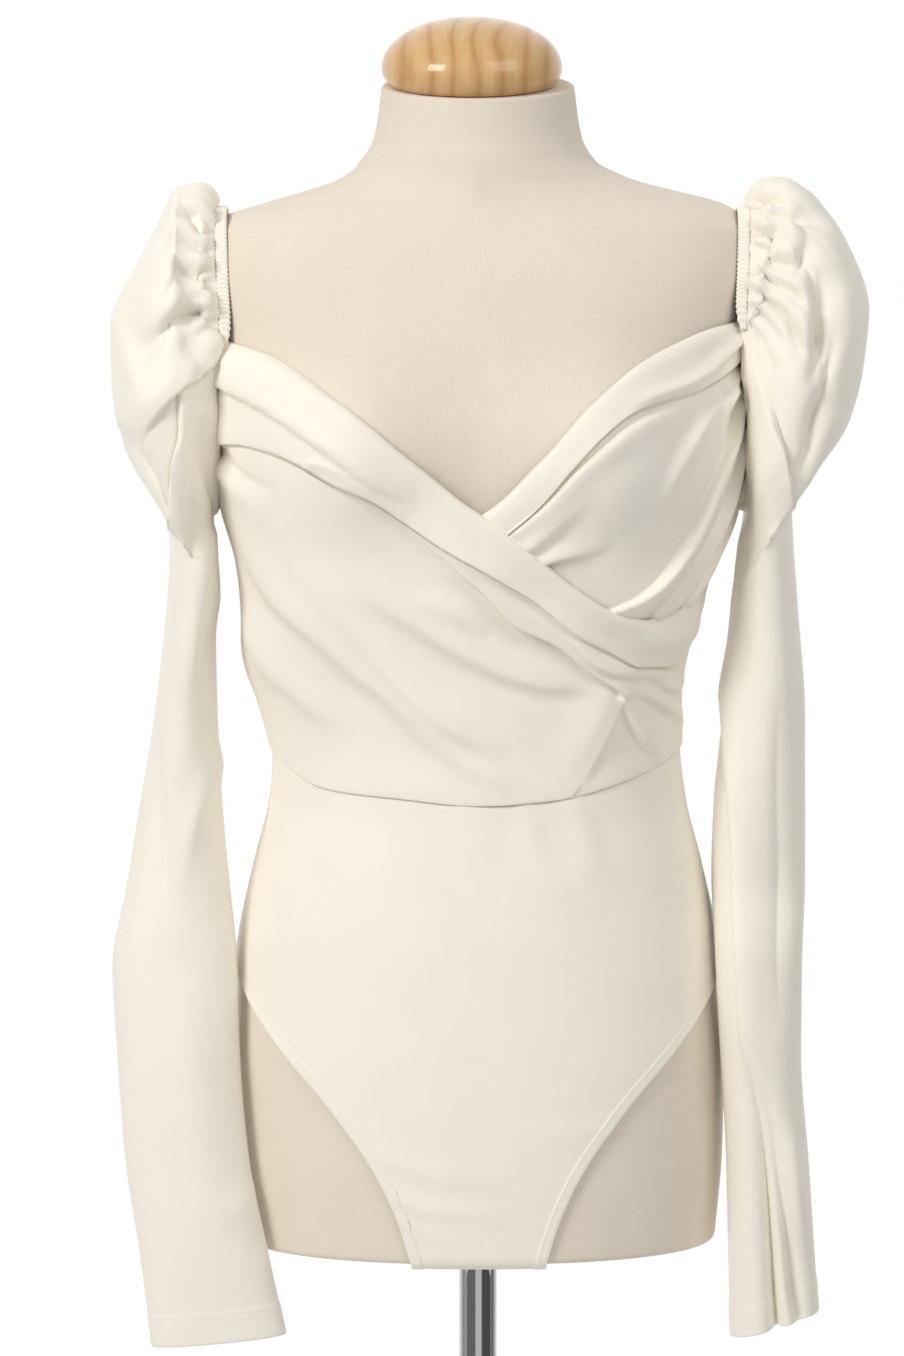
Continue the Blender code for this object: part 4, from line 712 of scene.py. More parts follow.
def wood_material():
    """Lacquered pale pine: upright bands of grain with finer streaks in them."""
    shader = Shader("lacquered_pine", Roughness=0.36, Specular_IOR_Level=0.25, Coat_Weight=0.5,
                    Coat_Roughness=0.05, Coat_IOR=1.5)
    bands = shader.node("TexWave", wave_type="BANDS", bands_direction="X",
                        Vector=shader.coordinates("Object", (1.0, 1.0, 0.28)), Scale=21.0,
                        Distortion=7.0, Detail=2.0, Detail_Scale=0.7, Detail_Roughness=0.45)
    streaks = shader.noise(shader.coordinates("Object", (1.0, 0.25, 0.05)), Scale=330.0, Detail=3.0,
                           Roughness=0.6)
    grain = shader.ramp(bands.outputs["Fac"], (
        (0.0, (0.55, 0.30, 0.115)), (0.10, (0.60, 0.345, 0.14)), (0.30, (0.65, 0.39, 0.17)),
        (1.0, (0.70, 0.45, 0.21))))
    fine = shader.ramp(streaks, ((0.35, (0.90, 0.86, 0.80)), (0.65, 1.0)))
    shader.set(Base_Color=shader.multiplied(0.8, grain, fine), Normal=shader.bump(streaks, 0.1, 0.0002))
    return shader.made


def metal_material(name, colour, roughness, scale):
    """Polished metal with faint wear that varies its gloss."""
    shader = Shader(name, Metallic=1.0, Base_Color=(*colour, 1.0))
    wear = shader.noise(shader.coordinates("Object", (1.0, 1.0, 0.15)), Scale=scale, Detail=4.0)
    shader.set(Roughness=shader.remap(wear, 0.0, 1.0, roughness * 0.7, roughness * 1.4))
    return shader.made


def mottled(shader, place, low, high, **noise):
    """Gives a material a colour that wanders between two."""
    shader.set(Base_Color=shader.ramp(shader.noise(place, Detail=2.0, **noise), ((0.3, low), (0.7, high))))


# ---------------------------------------------------------------- flat panels of the garment
LAP = 1.0                   # degrees that a panel runs on under the sleeve sewn to it
SIDE_GAP = SEAM / METRES_PER_DEGREE / 2
SETTLE_FROM, SETTLE_TO = -1.0, 4.5  # degrees from a side seam over which the folds die away
INNER_SHARE = 0.6           # how much of the outer face's relief the inner face takes
EDGE_ROWS = 6               # rows and columns over which a slide starts
# The least lift of each panel, which keeps it clear of what lies beneath it.
LEAST_OVER_FORM, LEAST_OVER_WRAP = -0.0032, -0.0009
LEAST_UNDER, LEAST_BACK, LEAST_BRIEF = -0.0009, -0.0010, -0.0012


def lattice(top, bottom, left, right, down):
    """(angle, height) of a grid that fills four edge curves, in rows at the shares in down."""
    across = np.linspace(0, 1, len(top))[None, :, None]
    down = np.asarray(down, dtype=float)[:, None, None]
    by_rows = (1 - down) * top[None] + down * bottom[None]
    by_columns = (1 - across) * left[:, None] + across * right[:, None]
    corners = (1 - down) * ((1 - across) * top[0] + across * top[-1]) \
        + down * ((1 - across) * bottom[0] + across * bottom[-1])
    return by_rows + by_columns - corners


def armhole_side(armhole, column, high, low, down, side, seam):
    """Places down an armhole's edge and then its side seam, between two heights."""
    height = high + (low - high) * down
    edge = smooth_column(armhole, column, np.maximum(height, UNDERARM))
    edge = edge + np.clip((90 - edge) * 0.25, -LAP, LAP) * ease_in_out(np.abs(edge - 90), 2, 8)
    return np.stack([np.where(height > UNDERARM, side * edge, seam), height], axis=-1)


def waist_edge(shift, count, crowd=1.0):
    angles = np.linspace(0, 1, count) ** crowd * 180 - 90
    angles[0] += SIDE_GAP
    angles[-1] -= SIDE_GAP
    return np.stack([angles, smooth_column(WAIST_SEAM, 1, angles) + shift], axis=-1)


def back_waist(shift, count):
    edge = stations(WAIST_BACK, count)
    edge[:, 1] += shift
    edge[0, 0] += SIDE_GAP
    edge[-1, 0] -= SIDE_GAP
    return edge


def body_relief(grid, folds, layer):
    """Lift and slide by the folds over a grid of (angle, height)."""
    angle, height = grid[..., 0].ravel(), grid[..., 1].ravel()
    points, up = cloth_point(angle, height, layer), form_normal(angle, height)
    lift, slide = fold_relief(points, up, folds, lambda a, h: cloth_point(a, h, layer))
    return lift.reshape(grid.shape[:2]), slide.reshape(*grid.shape[:2], 3)


def seam_pull(height, seam, depth=0.0007, reach=0.0035):
    """Cloth drawn in along a seam."""
    return -depth * np.exp(-np.abs(height - seam) / reach)


def within(grid):
    """1 inside a grid and 0 on its edges, where nothing may slide."""
    down, across = (ease_in_out(np.minimum(np.arange(count), np.arange(count)[::-1]), 0, EDGE_ROWS)
                    for count in grid.shape[:2])
    return (down[:, None] * across)[..., None]


def panel(name, grid, lift, slide, layer, finish, node, under=INNER_SHARE):
    """A closed wall over a grid. Its outer face is lifted, its inner one by the share in under."""
    angle, height = grid[..., 0], grid[..., 1]
    slide = slide * within(grid)
    outer = cloth_point(angle, height, layer + CLOTH + lift) + slide
    inner = cloth_point(angle, height, layer + np.minimum(lift, lift * under)) + slide * INNER_SHARE
    points, faces = wall(outer, inner)
    flat = np.stack([angle * METRES_PER_DEGREE, height], axis=-1)
    return piece(name, points, faces, finish, "cloth", (node,), wall_uv(flat))


FRONT_COLUMNS, UNDER_COLUMNS, BAND_ROWS, BODY_ROWS, BACK_COLUMNS = 300, 220, 26, 112, 130
UNDER_CROWD = 0.70          # below 1: the inner layer's columns crowd towards the side that shows
BAND_CROWD, BAND_EDGE = 1.35, 0.05  # rows crowd towards the neckline; reach of the edge's own lift
# The neckline band: share of the way down it, lift. Below it the lip: drop, share of the lip's lift.
BAND = ((0.0, 0.0), (0.03, 0.0012), (0.09, 0.0024), (0.25, 0.0034), (0.50, 0.0034), (0.75, 0.0030),
        (0.93, 0.0031), (1.0, 0.0030))
LIP = ((-0.0006, 0.96), (-0.0012, 0.80), (-0.0014, 0.55), (-0.0009, 0.28), (-0.0007, 0.08),
       (-0.0013, 0.0))
LIP_DROP = -0.0026


def wrap_grid(neck, fold, waist, armhole, side, edge_rise, lip):
    """Grid and band relief of a wrapped front: neckline band, the lip below it, then the body."""
    sewn, free = (0, -1) if side < 0 else (-1, 0)

    def filled(top, bottom, down):
        height = top[free, 1] + (bottom[free, 1] - top[free, 1]) * down
        edges = [armhole_side(armhole, 1, top[sewn, 1], bottom[sewn, 1], down, side, waist[sewn, 0]),
                 np.stack([np.full(len(down), waist[free, 0]), height], axis=-1)]
        return lattice(top, bottom, *edges[::-side], down)

    down = np.linspace(0, 1, BAND_ROWS) ** BAND_CROWD
    band = filled(neck, fold, down)
    rise = smooth_column(BAND, 1, down)[:, None] + edge_rise * np.exp(-down / BAND_EDGE)[:, None]
    rise = rise * lip / BAND[-1][1]
    below = np.array([fold + (0.0, drop) for drop, _ in LIP])
    below_rise = np.array([lip * share for _, share in LIP])
    body = filled(fold + (0.0, LIP_DROP), waist, np.linspace(0, 1, BODY_ROWS))
    rise = np.concatenate([rise, below_rise, np.zeros(body.shape[:2])])
    return np.concatenate([band, below, body]), rise


def over_floor(angle, height):
    """The least lift of the over layer, over the bare form or the under layer."""
    covered = ease_in_out(smooth_column(UNDER_NECK, 1, angle) - height, -0.004, 0.003)
    return LEAST_OVER_FORM + covered * (LEAST_OVER_WRAP - LEAST_OVER_FORM)


def build_front_over(cloth):
    neck, fold = stations(OVER_NECK, FRONT_COLUMNS), stations(OVER_FOLD, FRONT_COLUMNS)
    waist = waist_edge(SEAM / 2, FRONT_COLUMNS)
    neck[-1, 0] = fold[-1, 0] = waist[-1, 0]
    bare = 1 - ease_in_out(neck[:, 0], -12, -4)
    grid, rise = wrap_grid(neck, fold, waist, ARMHOLE_RIGHT, -1, -0.0024 * bare,
                           np.full(FRONT_COLUMNS, 0.0040))
    angle, height = grid[..., 0], grid[..., 1]
    to_side = 90 - np.abs(angle)
    lift, slide = body_relief(grid, OVER_FOLDS, OVER_LAYER)
    lift += rise + seam_pull(height, smooth_column(WAIST_SEAM, 1, np.clip(angle, -90, 90)))
    settle = ease_in_out(to_side, SETTLE_FROM, SETTLE_TO) * (1 - 0.85 * ease_in_out(angle, 58, 84))
    lift = np.maximum(lift * settle - 0.0009 * np.exp(-to_side / 2.0), over_floor(angle, height))
    made = panel("wrap_over", grid, lift, slide * settle[..., None], OVER_LAYER, cloth,
                 "bodice_front_over")


def build_front_under(cloth):
    neck, fold = (stations(edge, UNDER_COLUMNS, crowd=UNDER_CROWD) for edge in (UNDER_NECK, UNDER_FOLD))
    waist = waist_edge(SEAM / 2, UNDER_COLUMNS, UNDER_CROWD)
    neck[0, 0] = fold[0, 0] = waist[0, 0]
    fold[-1, 0] = smooth_column(ARMHOLE_LEFT, 1, fold[-1, 1])
    grid, rise = wrap_grid(neck, fold, waist, ARMHOLE_LEFT, 1, np.zeros(UNDER_COLUMNS),
                           0.0006 + 0.0026 * ease_in_out(fold[:, 0], -4, 6))
    angle, height = grid[..., 0], grid[..., 1]
    shown = ease_in_out(height - smooth_column(OVER_NECK, 1, angle), -0.012, 0.004)
    shown *= ease_in_out(90 - np.abs(angle), SETTLE_FROM, SETTLE_TO)
    lift, slide = body_relief(grid, UNDER_FOLDS, UNDER_LAYER)
    lift = np.maximum((rise + lift) * shown, LEAST_UNDER)
    made = panel("wrap_under", grid, lift, slide * shown[..., None], UNDER_LAYER, cloth,
                 "bodice_front_under")


def build_back(cloth):
    down = np.concatenate([np.linspace(0, 0.05, 9, endpoint=False), np.linspace(0.05, 1, 95)])
    waist, neck = back_waist(SEAM / 2, BACK_COLUMNS), stations(BACK_NECK, BACK_COLUMNS)
    left = armhole_side(ARMHOLE_LEFT, 2, CORNER_BACK, waist[0, 1], down, 1, waist[0, 0])
    right = armhole_side(ARMHOLE_RIGHT, 2, CORNER_BACK, waist[-1, 1], down, 1, 360 - waist[-1, 0])
    right[:, 0] = 360 - right[:, 0]
    grid = lattice(neck, waist, left, right, down)
    angle, height = grid[..., 0], grid[..., 1]
    below = neck[None, :, 1] - height
    rise = 0.0011 * ease_in_out(below, 0, 0.002) * (1 - ease_in_out(below, 0.011, 0.0135))
    fade = ease_in_out(angle, 90, 96) * ease_in_out(270 - angle, 0, 6)
    lift, slide = body_relief(grid, BACK_FOLDS, UNDER_LAYER)
    lift = np.maximum(rise + lift * fade + seam_pull(height, waist[None, :, 1]), LEAST_BACK)
    made = panel("back", grid, lift, slide * fade[..., None], UNDER_LAYER, cloth, "bodice_back", 0.5)


# ---------------------------------------------------------------- briefs
BRIEF_COLUMNS = 104
HEM_WIDE, HEM_PROUD = 0.0068, 0.00045
HEM_CURVE = HEM_HEIGHT + HEM_ROUND  # height where the form's lower edge starts to turn
WAIST_MEET, WAIST_SPREAD = 0.0010, 0.012    # how the brief rises to meet the layers sewn to it
CROTCH_FADE = 0.016         # height over which the folds start above the crotch
LEG_ROWS, HIP_ROWS, CROTCH_ROWS = 61, 52, 14
# Section of a leg hem: share of its width, share of its height.
HEM_SECTION = ((-0.09, -1.1), (-0.10, 0.1), (-0.02, 0.95), (0.12, 1.0), (0.35, 1.05), (0.65, 1.0),
               (0.90, 0.9), (1.0, 0.45), (1.01, -0.4), (0.46, -0.9))


def leg_curve(column, count):
    """Heights evenly spaced along one leg opening, from the crotch up."""
    fine = np.linspace(LEG_OPENING[0][0], LEG_OPENING[-1][0], 600)
    half = smooth_column(LEG_OPENING, column, fine) * METRES_PER_DEGREE
    far = travelled(np.stack([fine, half], axis=-1))
    return np.interp(np.linspace(0, far[-1], count), far, fine)


def under_rows(angles, sign, layer):
    """The crotch end, turned under the form: from near the pole, then round the hem's edge."""
    edge = form_point(angles, np.full(len(angles), HEM_CURVE))
    bend = HEM_ROUND + layer
    rows = [(HEM_ROUND - bend * math.cos(turn), HEM_CURVE - bend * math.sin(turn))
            for turn in np.radians(np.linspace(28, 90, 6))]
    rows += [(reach, HEM_HEIGHT - layer) for reach in np.linspace(HEM_ROUND, CROTCH_REACH, CROTCH_ROWS)[1:]]
    made = []
    for reach, height in rows[::-1]:
        narrow = 1 - (1 - CROTCH_NARROW) * max(reach, 0) / CROTCH_REACH
        made.append(np.stack([edge[:, 0] * narrow, sign * (np.abs(edge[:, 1]) - reach),
                              np.full(len(angles), height)], axis=-1))
    return np.array(made)


def hem_strip(outer, sign):
    """A turned hem along one edge of a panel's outer face, and its two rows of stitches."""
    edge, inside = outer[:, ::sign][:, 0], outer[:, ::sign][:, 6]
    along, slant = unit(np.gradient(edge, axis=0)), unit(inside - edge)
    inwards = unit(slant - (slant * along).sum(-1, keepdims=True) * along)
    up = np.cross(along, inwards) * sign
    up *= np.sign((up * (edge - (0, 0, 1.0)) * (1, 1, 0)).sum())

    def place(across, high):
        return edge + inwards * HEM_WIDE * across + up * HEM_PROUD * high

    ring = np.stack([place(across, high) for across, high in HEM_SECTION], axis=1)
    return (ring.reshape(-1, 3), tube_faces(*ring.shape[:2])), [
        dashes(place(across, 1.05), up, 0.00045, 0.00022) for across in (0.24, 0.80)]


def build_brief(name, node, column, centre, waist, folds, cloth, thread):
    front, count = centre == 0, len(waist)
    across = np.linspace(-1, 1, count)
    across = across * (1.25 - 0.25 * np.abs(across))
    rows = [np.stack([centre + smooth_column(LEG_OPENING, column, height) * across,
                      np.full(count, height)], axis=-1) for height in leg_curve(column, LEG_ROWS + 1)[:-1]]
    angle = centre + (waist[-1, 0] - waist[0, 0]) / 2 * across
    side = np.stack([angle, np.full(count, SIDE_TOP)], axis=-1)
    edge = np.stack([angle, np.interp(angle, waist[:, 0], waist[:, 1])], axis=-1)
    grid = np.array(rows + [(1 - t) * side + t * edge for t in np.linspace(0, 1, HIP_ROWS)])
    angle, height = grid[..., 0], grid[..., 1]
    lift = body_relief(grid, folds, UNDER_LAYER)[0] + seam_pull(height, edge[None, :, 1])
    lift = np.maximum(lift * ease_in_out(height, HEM_CURVE, HEM_CURVE + CROTCH_FADE), LEAST_BRIEF)
    if front:
        lift += WAIST_MEET * np.exp(-np.maximum(edge[None, :, 1] - height, 0) / WAIST_SPREAD) \
            * ease_in_out(90 - np.abs(angle), 0, 9)
    outer = cloth_point(angle, height, UNDER_LAYER + CLOTH + lift)
    inner = cloth_point(angle, height, UNDER_LAYER + np.minimum(lift, lift * INNER_SHARE))
    way = -1 if front else 1
    turned = [under_rows(grid[0, :, 0], way, layer) for layer in (UNDER_LAYER + CLOTH, UNDER_LAYER)]
    outer, inner = (np.concatenate(pair) for pair in zip(turned, (outer, inner)))
    flat = np.stack([angle * METRES_PER_DEGREE, height], axis=-1)
    tail = np.repeat(flat[:1], len(turned[0]), axis=0)
    tail[..., 1] -= np.linspace(CROTCH_REACH, 0.001, len(tail))[:, None]
    made = piece(name, *wall(outer, inner), cloth, "cloth", (node,), wall_uv(np.concatenate([tail, flat])))
    strips = [hem_strip(outer, sign) for sign in (1, -1)]
    hem = piece(name + "_leg_hems", *joined([strip for strip, _ in strips]), cloth, "cloth")
    sewn = piece(name + "_stitches", *joined(strips[0][1] + strips[1][1]), thread, "cloth")


# ---------------------------------------------------------------- sleeves and shoulder elastic
SLEEVE_COLUMNS, SLEEVE_FRONT, HEAD_RINGS, TUBE_RINGS, CUFF_RINGS = 236, 144, 52, 140, 22
CUFF_HEM, CUFF_EDGE, CUFF_PROUD, CUFF_STITCH = 0.020, 0.001, 0.0005, 0.002
CUFF_SECTIONS = 0.45        # share of the last section over which the rings are closer
ELASTIC_LEFT_OUT = 0.0055   # the elastic at +X lies this much further out
PUFF_LOBES, PUFF_LOBE_LIFT, PUFF_LOBE_TURN = 5, 0.035, 0.6
PUFF_MIDDLE, PUFF_REACH = 2.5, 2.2
HEAD_RISE, HEAD_OUT = 0.060, 0.010  # how sharply the head swells up and out beside the elastic
SEAM_SWELL = 0.012          # and forwards beside the armhole seam
HEAD_CROWD = 1.15           # above 1: the head's rings crowd towards the elastic
FACE_EDGE = (-0.10, 0.22)   # sines between which a face's folds start, round a sleeve
FOLD_START = 0.005          # distance from the armhole over which they start
SLEEVE_RADIUS = 0.055       # a mean radius, to lay out the knit
SEAM_CLEAR = 0.0018         # how far a sleeve's start stands off the wrap's folds in front
SEAM_SMOOTH = 9             # places to each side that this is evened out over
# Angles round a sleeve from its outer point, closer together over the front half.
TURNS = np.concatenate([
    np.linspace(0, math.pi, SLEEVE_FRONT, endpoint=False),
    np.linspace(math.pi, 2 * math.pi, SLEEVE_COLUMNS - SLEEVE_FRONT, endpoint=False)])


def elastic_x(height, side):
    """Distance of the elastic's inner edge from the centre line: it leans outwards as it rises."""
    out = ELASTIC_LEFT_OUT if side > 0 else 0.0
    return ELASTIC_LOW + out + (ELASTIC_HIGH - ELASTIC_LOW) * (height - ARCH_BASE) / ARCH_RISE


def arch_point(height, front, outward):
    """(y, z) outside the elastic's arch, for a height up to its top."""
    depth = np.where(front, ARCH_FRONT, ARCH_BACK)
    rise = np.clip((height - ARCH_BASE) / ARCH_RISE, 0, 1)
    reach = depth * np.sqrt(1 - rise**2)
    normal = unit(np.stack([reach / depth**2, rise / ARCH_RISE], axis=-1))
    y = reach + normal[..., 0] * outward
    return np.where(front, -y, y), np.clip(height, ARCH_BASE, ARCH_TOP) + normal[..., 1] * outward


def armhole_ring(side, armhole, corner_front, layer, folds):
    """The loop where a sleeve starts: round the elastic's arch, then down the armhole seam."""
    height = (ARCH_TOP + UNDERARM) / 2 + (ARCH_TOP - UNDERARM) / 2 * np.cos(TURNS)
    front = np.sin(TURNS) >= 0
    corner = np.where(front, corner_front, CORNER_BACK)
    level = np.minimum(height, corner)
    angle = side * np.where(front, *columns_at(armhole, level, 1, 2))
    grid = np.stack([angle, level], axis=-1)[None]
    lift = np.where(front, np.maximum(body_relief(grid, folds, layer)[0][0], 0) + SEAM_CLEAR, 0.0)
    lift = np.mean([np.roll(lift, step) for step in range(-SEAM_SMOOTH, SEAM_SMOOTH + 1)], axis=0)
    seam = cloth_point(angle, level, np.where(front, layer, UNDER_LAYER) + lift + 0.9 * CLOTH)
    outside = np.maximum(elastic_x(height, side) + ELASTIC_WIDE, np.abs(seam[:, 0])) + 0.0002
    upper = np.stack([side * outside, *arch_point(height, front, ELASTIC_THICK * 0.6)], axis=-1)
    lower = np.stack([seam[:, 0] - side * 0.0004, seam[:, 1], height], axis=-1)
    share = ease_in_out(height, corner - CORNER_BLEND, corner + CORNER_BLEND / 3)[:, None]
    return (1 - share) * lower + share * upper


def section_ring(side, sections, place):
    """One closed loop of a sleeve, through its table of sections."""
    rows = [(index, *section) for index, section in enumerate(sections)]
    outer_x, outer_z, under_x, under_z, forward, depth, square = columns_at(rows, place, *range(1, 8))
    outer, under = (np.array((side * x, -forward, z)) for x, z in ((outer_x, outer_z), (under_x, under_z)))
    across, ahead = (np.sign(way) * np.abs(way) ** (2 / square) for way in (np.cos(TURNS), np.sin(TURNS)))
    fade = math.exp(-((place - PUFF_MIDDLE) / PUFF_REACH) ** 2) * ease_in_out(place, 0, PUFF_MIDDLE)
    lobes = 1 + PUFF_LOBE_LIFT * fade * np.cos(PUFF_LOBES * TURNS + PUFF_LOBE_TURN) * np.abs(np.sin(TURNS))
    ring = (outer + under) / 2 + (outer - under) / 2 * (across * lobes)[:, None]
    ring[:, 1] -= depth * ahead * lobes
    return ring


def outward(rings):
    """Outward normals of a tube of rings."""
    around = np.roll(rings, -1, axis=1) - np.roll(rings, 1, axis=1)
    normal = unit(np.cross(around, np.gradient(rings, axis=0)))
    return normal * np.sign(((rings - rings.mean(axis=1, keepdims=True)) * normal).sum())


def face_relief(rings, side, folds, mask):
    """Lift and slide by folds given as (distance from the centre line, height) on a sleeve's face."""
    points = np.abs(rings.reshape(-1, 3)) * (1, 0, 1)
    up = np.tile((0.0, -1.0, 0.0), (len(points), 1))
    lift, slide = fold_relief(points, up, folds, lambda x, z: np.stack([x, np.zeros(len(x)), z], axis=-1),
                              (1.0, 1.0))
    return lift.reshape(mask.shape) * mask, slide.reshape(rings.shape) * (side, 1, 1) * mask[..., None]


# Gathers: how many half waves go round, how far they wander, their phase, height and length.
GATHERS = ((23, 1.3, 0, 0.0042, 0.013), (10, 0.9, 1, 0.0115, 0.030))
GATHER_MEAN, GATHER_START = 0.64, 0.0022    # level taken off every ridge; distance over which they start


def gathers(far, above, seed):
    """Irregular ridges that run out of the elastic and die away, small ones first."""
    warp = 0.9 * np.sin(3 * TURNS + seed) + 0.6 * np.sin(7 * TURNS + 2.1 * seed)
    uneven = 0.75 + 0.35 * np.sin(5 * TURNS + 0.7 * seed) + 0.2 * np.sin(11 * TURNS + seed)
    total = 0
    for count, wander, phase, height, length in GATHERS:
        ridge = np.abs(np.cos(count * TURNS + wander * warp + phase * seed)) - GATHER_MEAN
        total = total + ridge * height * uneven * np.exp(-far / length)
    return above * (1 - np.exp(-far / GATHER_START)) * total


def build_sleeve(name, node, side, sections, start, corner_front, front_folds, seed, cloth, thread):
    first = section_ring(side, sections, 1.0)
    slope = (section_ring(side, sections, 1.05) - first) / 0.05 * 2
    above = ease_in_out(start[:, 2], corner_front - 0.03, corner_front + 0.02)[:, None]
    arch = unit((start - (0.0, 0.0, ARCH_BASE)) * (0.0, 1.0, 1.0))
    leave = (first - start) * (1 - above) + above * (arch * HEAD_RISE + (side * HEAD_OUT, 0.0, 0.0))
    leave[:, 1] -= SEAM_SWELL * (1 - above[:, 0]) * ease_in_out(start[:, 2], UNDERARM, UNDERARM + 0.05) \
        * np.maximum(np.sin(TURNS), 0)
    head = [hermite(t, start, first, leave, slope)
            for t in np.linspace(0, 1, HEAD_RINGS, endpoint=False) ** HEAD_CROWD]
    last = len(sections) - 1
    places = np.concatenate([
        np.linspace(1, last - CUFF_SECTIONS, TUBE_RINGS - CUFF_RINGS, endpoint=False),
        np.linspace(last - CUFF_SECTIONS, last, CUFF_RINGS)])
    rings = np.array(head + [section_ring(side, sections, place) for place in places])
    far = travelled(rings)
    to_cuff = far[-1:] - far
    lift, slide = 0, 0
    for way, folds in ((1, front_folds), (-1, SLEEVE_BACK)):
        mask = np.broadcast_to(ease_in_out(way * np.sin(TURNS)[None], *FACE_EDGE), far.shape)
        more_lift, more_slide = face_relief(rings, side, folds, mask)
        lift, slide = lift + more_lift, slide + more_slide
    start_fade = ease_in_out(far, 0.0, FOLD_START)
    slide = slide * (start_fade * ease_in_out(to_cuff, 0.0, CUFF_HEM))[..., None]
    lift = lift * start_fade + gathers(far, above.T, seed)
    lift += CUFF_PROUD * (1 - ease_in_out(to_cuff, CUFF_HEM - CUFF_EDGE, CUFF_HEM + CUFF_EDGE))
    outer = rings + outward(rings) * lift[..., None] + slide
    points, faces = wall(outer, outer - outward(outer) * CLOTH, tube=True)
    flat = np.stack([np.broadcast_to(TURNS[None] * SLEEVE_RADIUS, far.shape), far], axis=-1)
    made = piece(name, points, faces, cloth, "cloth", (node,), wall_uv(flat))
    row = np.abs(to_cuff.mean(axis=1) - CUFF_HEM + CUFF_STITCH).argmin()
    loop, up = (np.concatenate([ring, ring[:1]]) for ring in (outer[row], outward(outer)[row]))
    sewn = piece(name + "_cuff_stitches", *dashes(loop, up, 0.00035, 0.00018), thread, "cloth")


ELASTIC_ROWS = 420
ELASTIC_OFF = 0.0002        # gap between the elastic and its arch
END_REACH, END_DROP, END_THIN = 0.004, 0.007, 0.45  # its ends: reach, how far they dip and narrow
RUCHE_WAVE = 2 * math.pi / 0.0028
RUCHE_LIFT, RUCHE_SPREAD, RUCHE_LEAN = 0.00045, 0.0004, 0.0003
# Section of the elastic's casing: share of its width, share of its thickness.
ELASTIC_SECTION = ((0.02, 0.0), (0.5, 0.0), (0.98, 0.0), (1.0, 0.35), (0.99, 0.75), (0.90, 1.0),
                   (0.70, 1.08), (0.5, 0.92), (0.30, 1.08), (0.10, 1.0), (0.01, 0.75), (0.0, 0.35))


def build_elastic(name, node, side, corner_front, seed, cloth):
    """The gathered elastic casing over the shoulder, ruched along its length."""
    rise = [(corner + 0.0010 - ARCH_BASE) / ARCH_RISE for corner in (corner_front, CORNER_BACK)]
    phi = np.linspace(-math.acos(rise[0]), math.acos(rise[1]), ELASTIC_ROWS)
    depth = np.where(phi <= 0, ARCH_FRONT, ARCH_BACK)
    middle = np.stack([depth * np.sin(phi), ARCH_BASE + ARCH_RISE * np.cos(phi)], axis=-1)
    normal = unit(np.stack([np.sin(phi) / depth, np.cos(phi) / ARCH_RISE], axis=-1))
    far = travelled(middle)
    warp = 0.9 * np.sin(far * 210 + seed) + 0.7 * np.sin(far * 97 + 2 * seed)
    ruche = np.cos(far * RUCHE_WAVE + 1.3 * warp)
    uneven = 0.75 + 0.25 * np.sin(far * 330 + 3 * seed)
    foot = END_DROP * (np.exp(-far / END_REACH) + np.exp(-(far[-1] - far) / END_REACH))
    thin = 1 - END_THIN * np.exp(-np.minimum(far, far[-1] - far) / END_REACH)
    rows = []
    for across, high in ELASTIC_SECTION:
        swell = RUCHE_LIFT * ruche * uneven * min(high, 1.0)
        spread = RUCHE_SPREAD * np.cos(far * RUCHE_WAVE + 1.3 * warp + 0.8) * (2 * across - 1)
        lean = elastic_x(middle[:, 1], side) + (1 + (across - 1) * thin) * ELASTIC_WIDE + spread \
            + RUCHE_LEAN * ruche * math.sin(math.pi * across)
        off = ELASTIC_OFF + (ELASTIC_THICK * thin - ELASTIC_OFF) * high + swell
        place = middle + normal * off[:, None]
        rows.append(np.stack([side * lean, place[:, 0], place[:, 1] - foot], axis=-1))
    ring = np.stack(rows, axis=1)
    flat = np.stack(np.broadcast_arrays(np.arange(len(rows)) * 0.0018, far[:, None]), axis=-1)
    made = piece(name, ring.reshape(-1, 3), tube_faces(*ring.shape[:2]), cloth, "cloth", (node,), flat)


# ---------------------------------------------------------------- the form and its stand
FORM_COLUMNS, FORM_ROWS, SHOULDER_ROWS, SHOULDER_FROM = 160, 64, 66, 1.38
RIM_HEIGHT, RIM_IN = 0.0015, 0.04   # the rounded rim of the neck: height, share that it turns in


def build_form(cover):
    angles = np.linspace(-180, 180, FORM_COLUMNS, endpoint=False)
    heights = np.concatenate([np.linspace(HEM_CURVE, SHOULDER_FROM, FORM_ROWS, endpoint=False),
                              np.linspace(SHOULDER_FROM, NECK_RIM, SHOULDER_ROWS)])
    rings = [form_point(angles, np.full(FORM_COLUMNS, height)) for height in heights]
    normal = form_normal(angles, np.full(FORM_COLUMNS, HEM_HEIGHT))
    hem, top = [], []
    for turn in np.radians((90, 60, 30)):
        ring = rings[0] - normal * HEM_ROUND * (1 - math.cos(turn)) * (1, 1, 0)
        ring[:, 2] = HEM_HEIGHT + HEM_ROUND * (1 - math.sin(turn))
        hem.append(ring)
    for turn in np.radians((30, 60, 90)):
        inside = 1 - RIM_IN * (1 - math.cos(turn))
        top.append(rings[-1] * (inside, inside, 1) + (0, 0, RIM_HEIGHT * math.sin(turn)))
    middle, lid = hem[0] * (0.02, 0.02, 1), top[-1] * (0.5, 0.5, 1)
    lid[:, 2] = NECK_RIM + RIM_HEIGHT + NECK_TILT * lid[:, 1]
    grid = np.array([middle] + hem + rings + top + [lid])
    around, far = (angles + 180) * METRES_PER_DEGREE, travelled(grid[:, 0])
    flat = np.stack(np.broadcast_arrays(around, far[:, None]), axis=-1)
    piece("form", grid.reshape(-1, 3), tube_faces(*grid.shape[:2]), cover, "form_cover",
          ("form_torso",), flat)


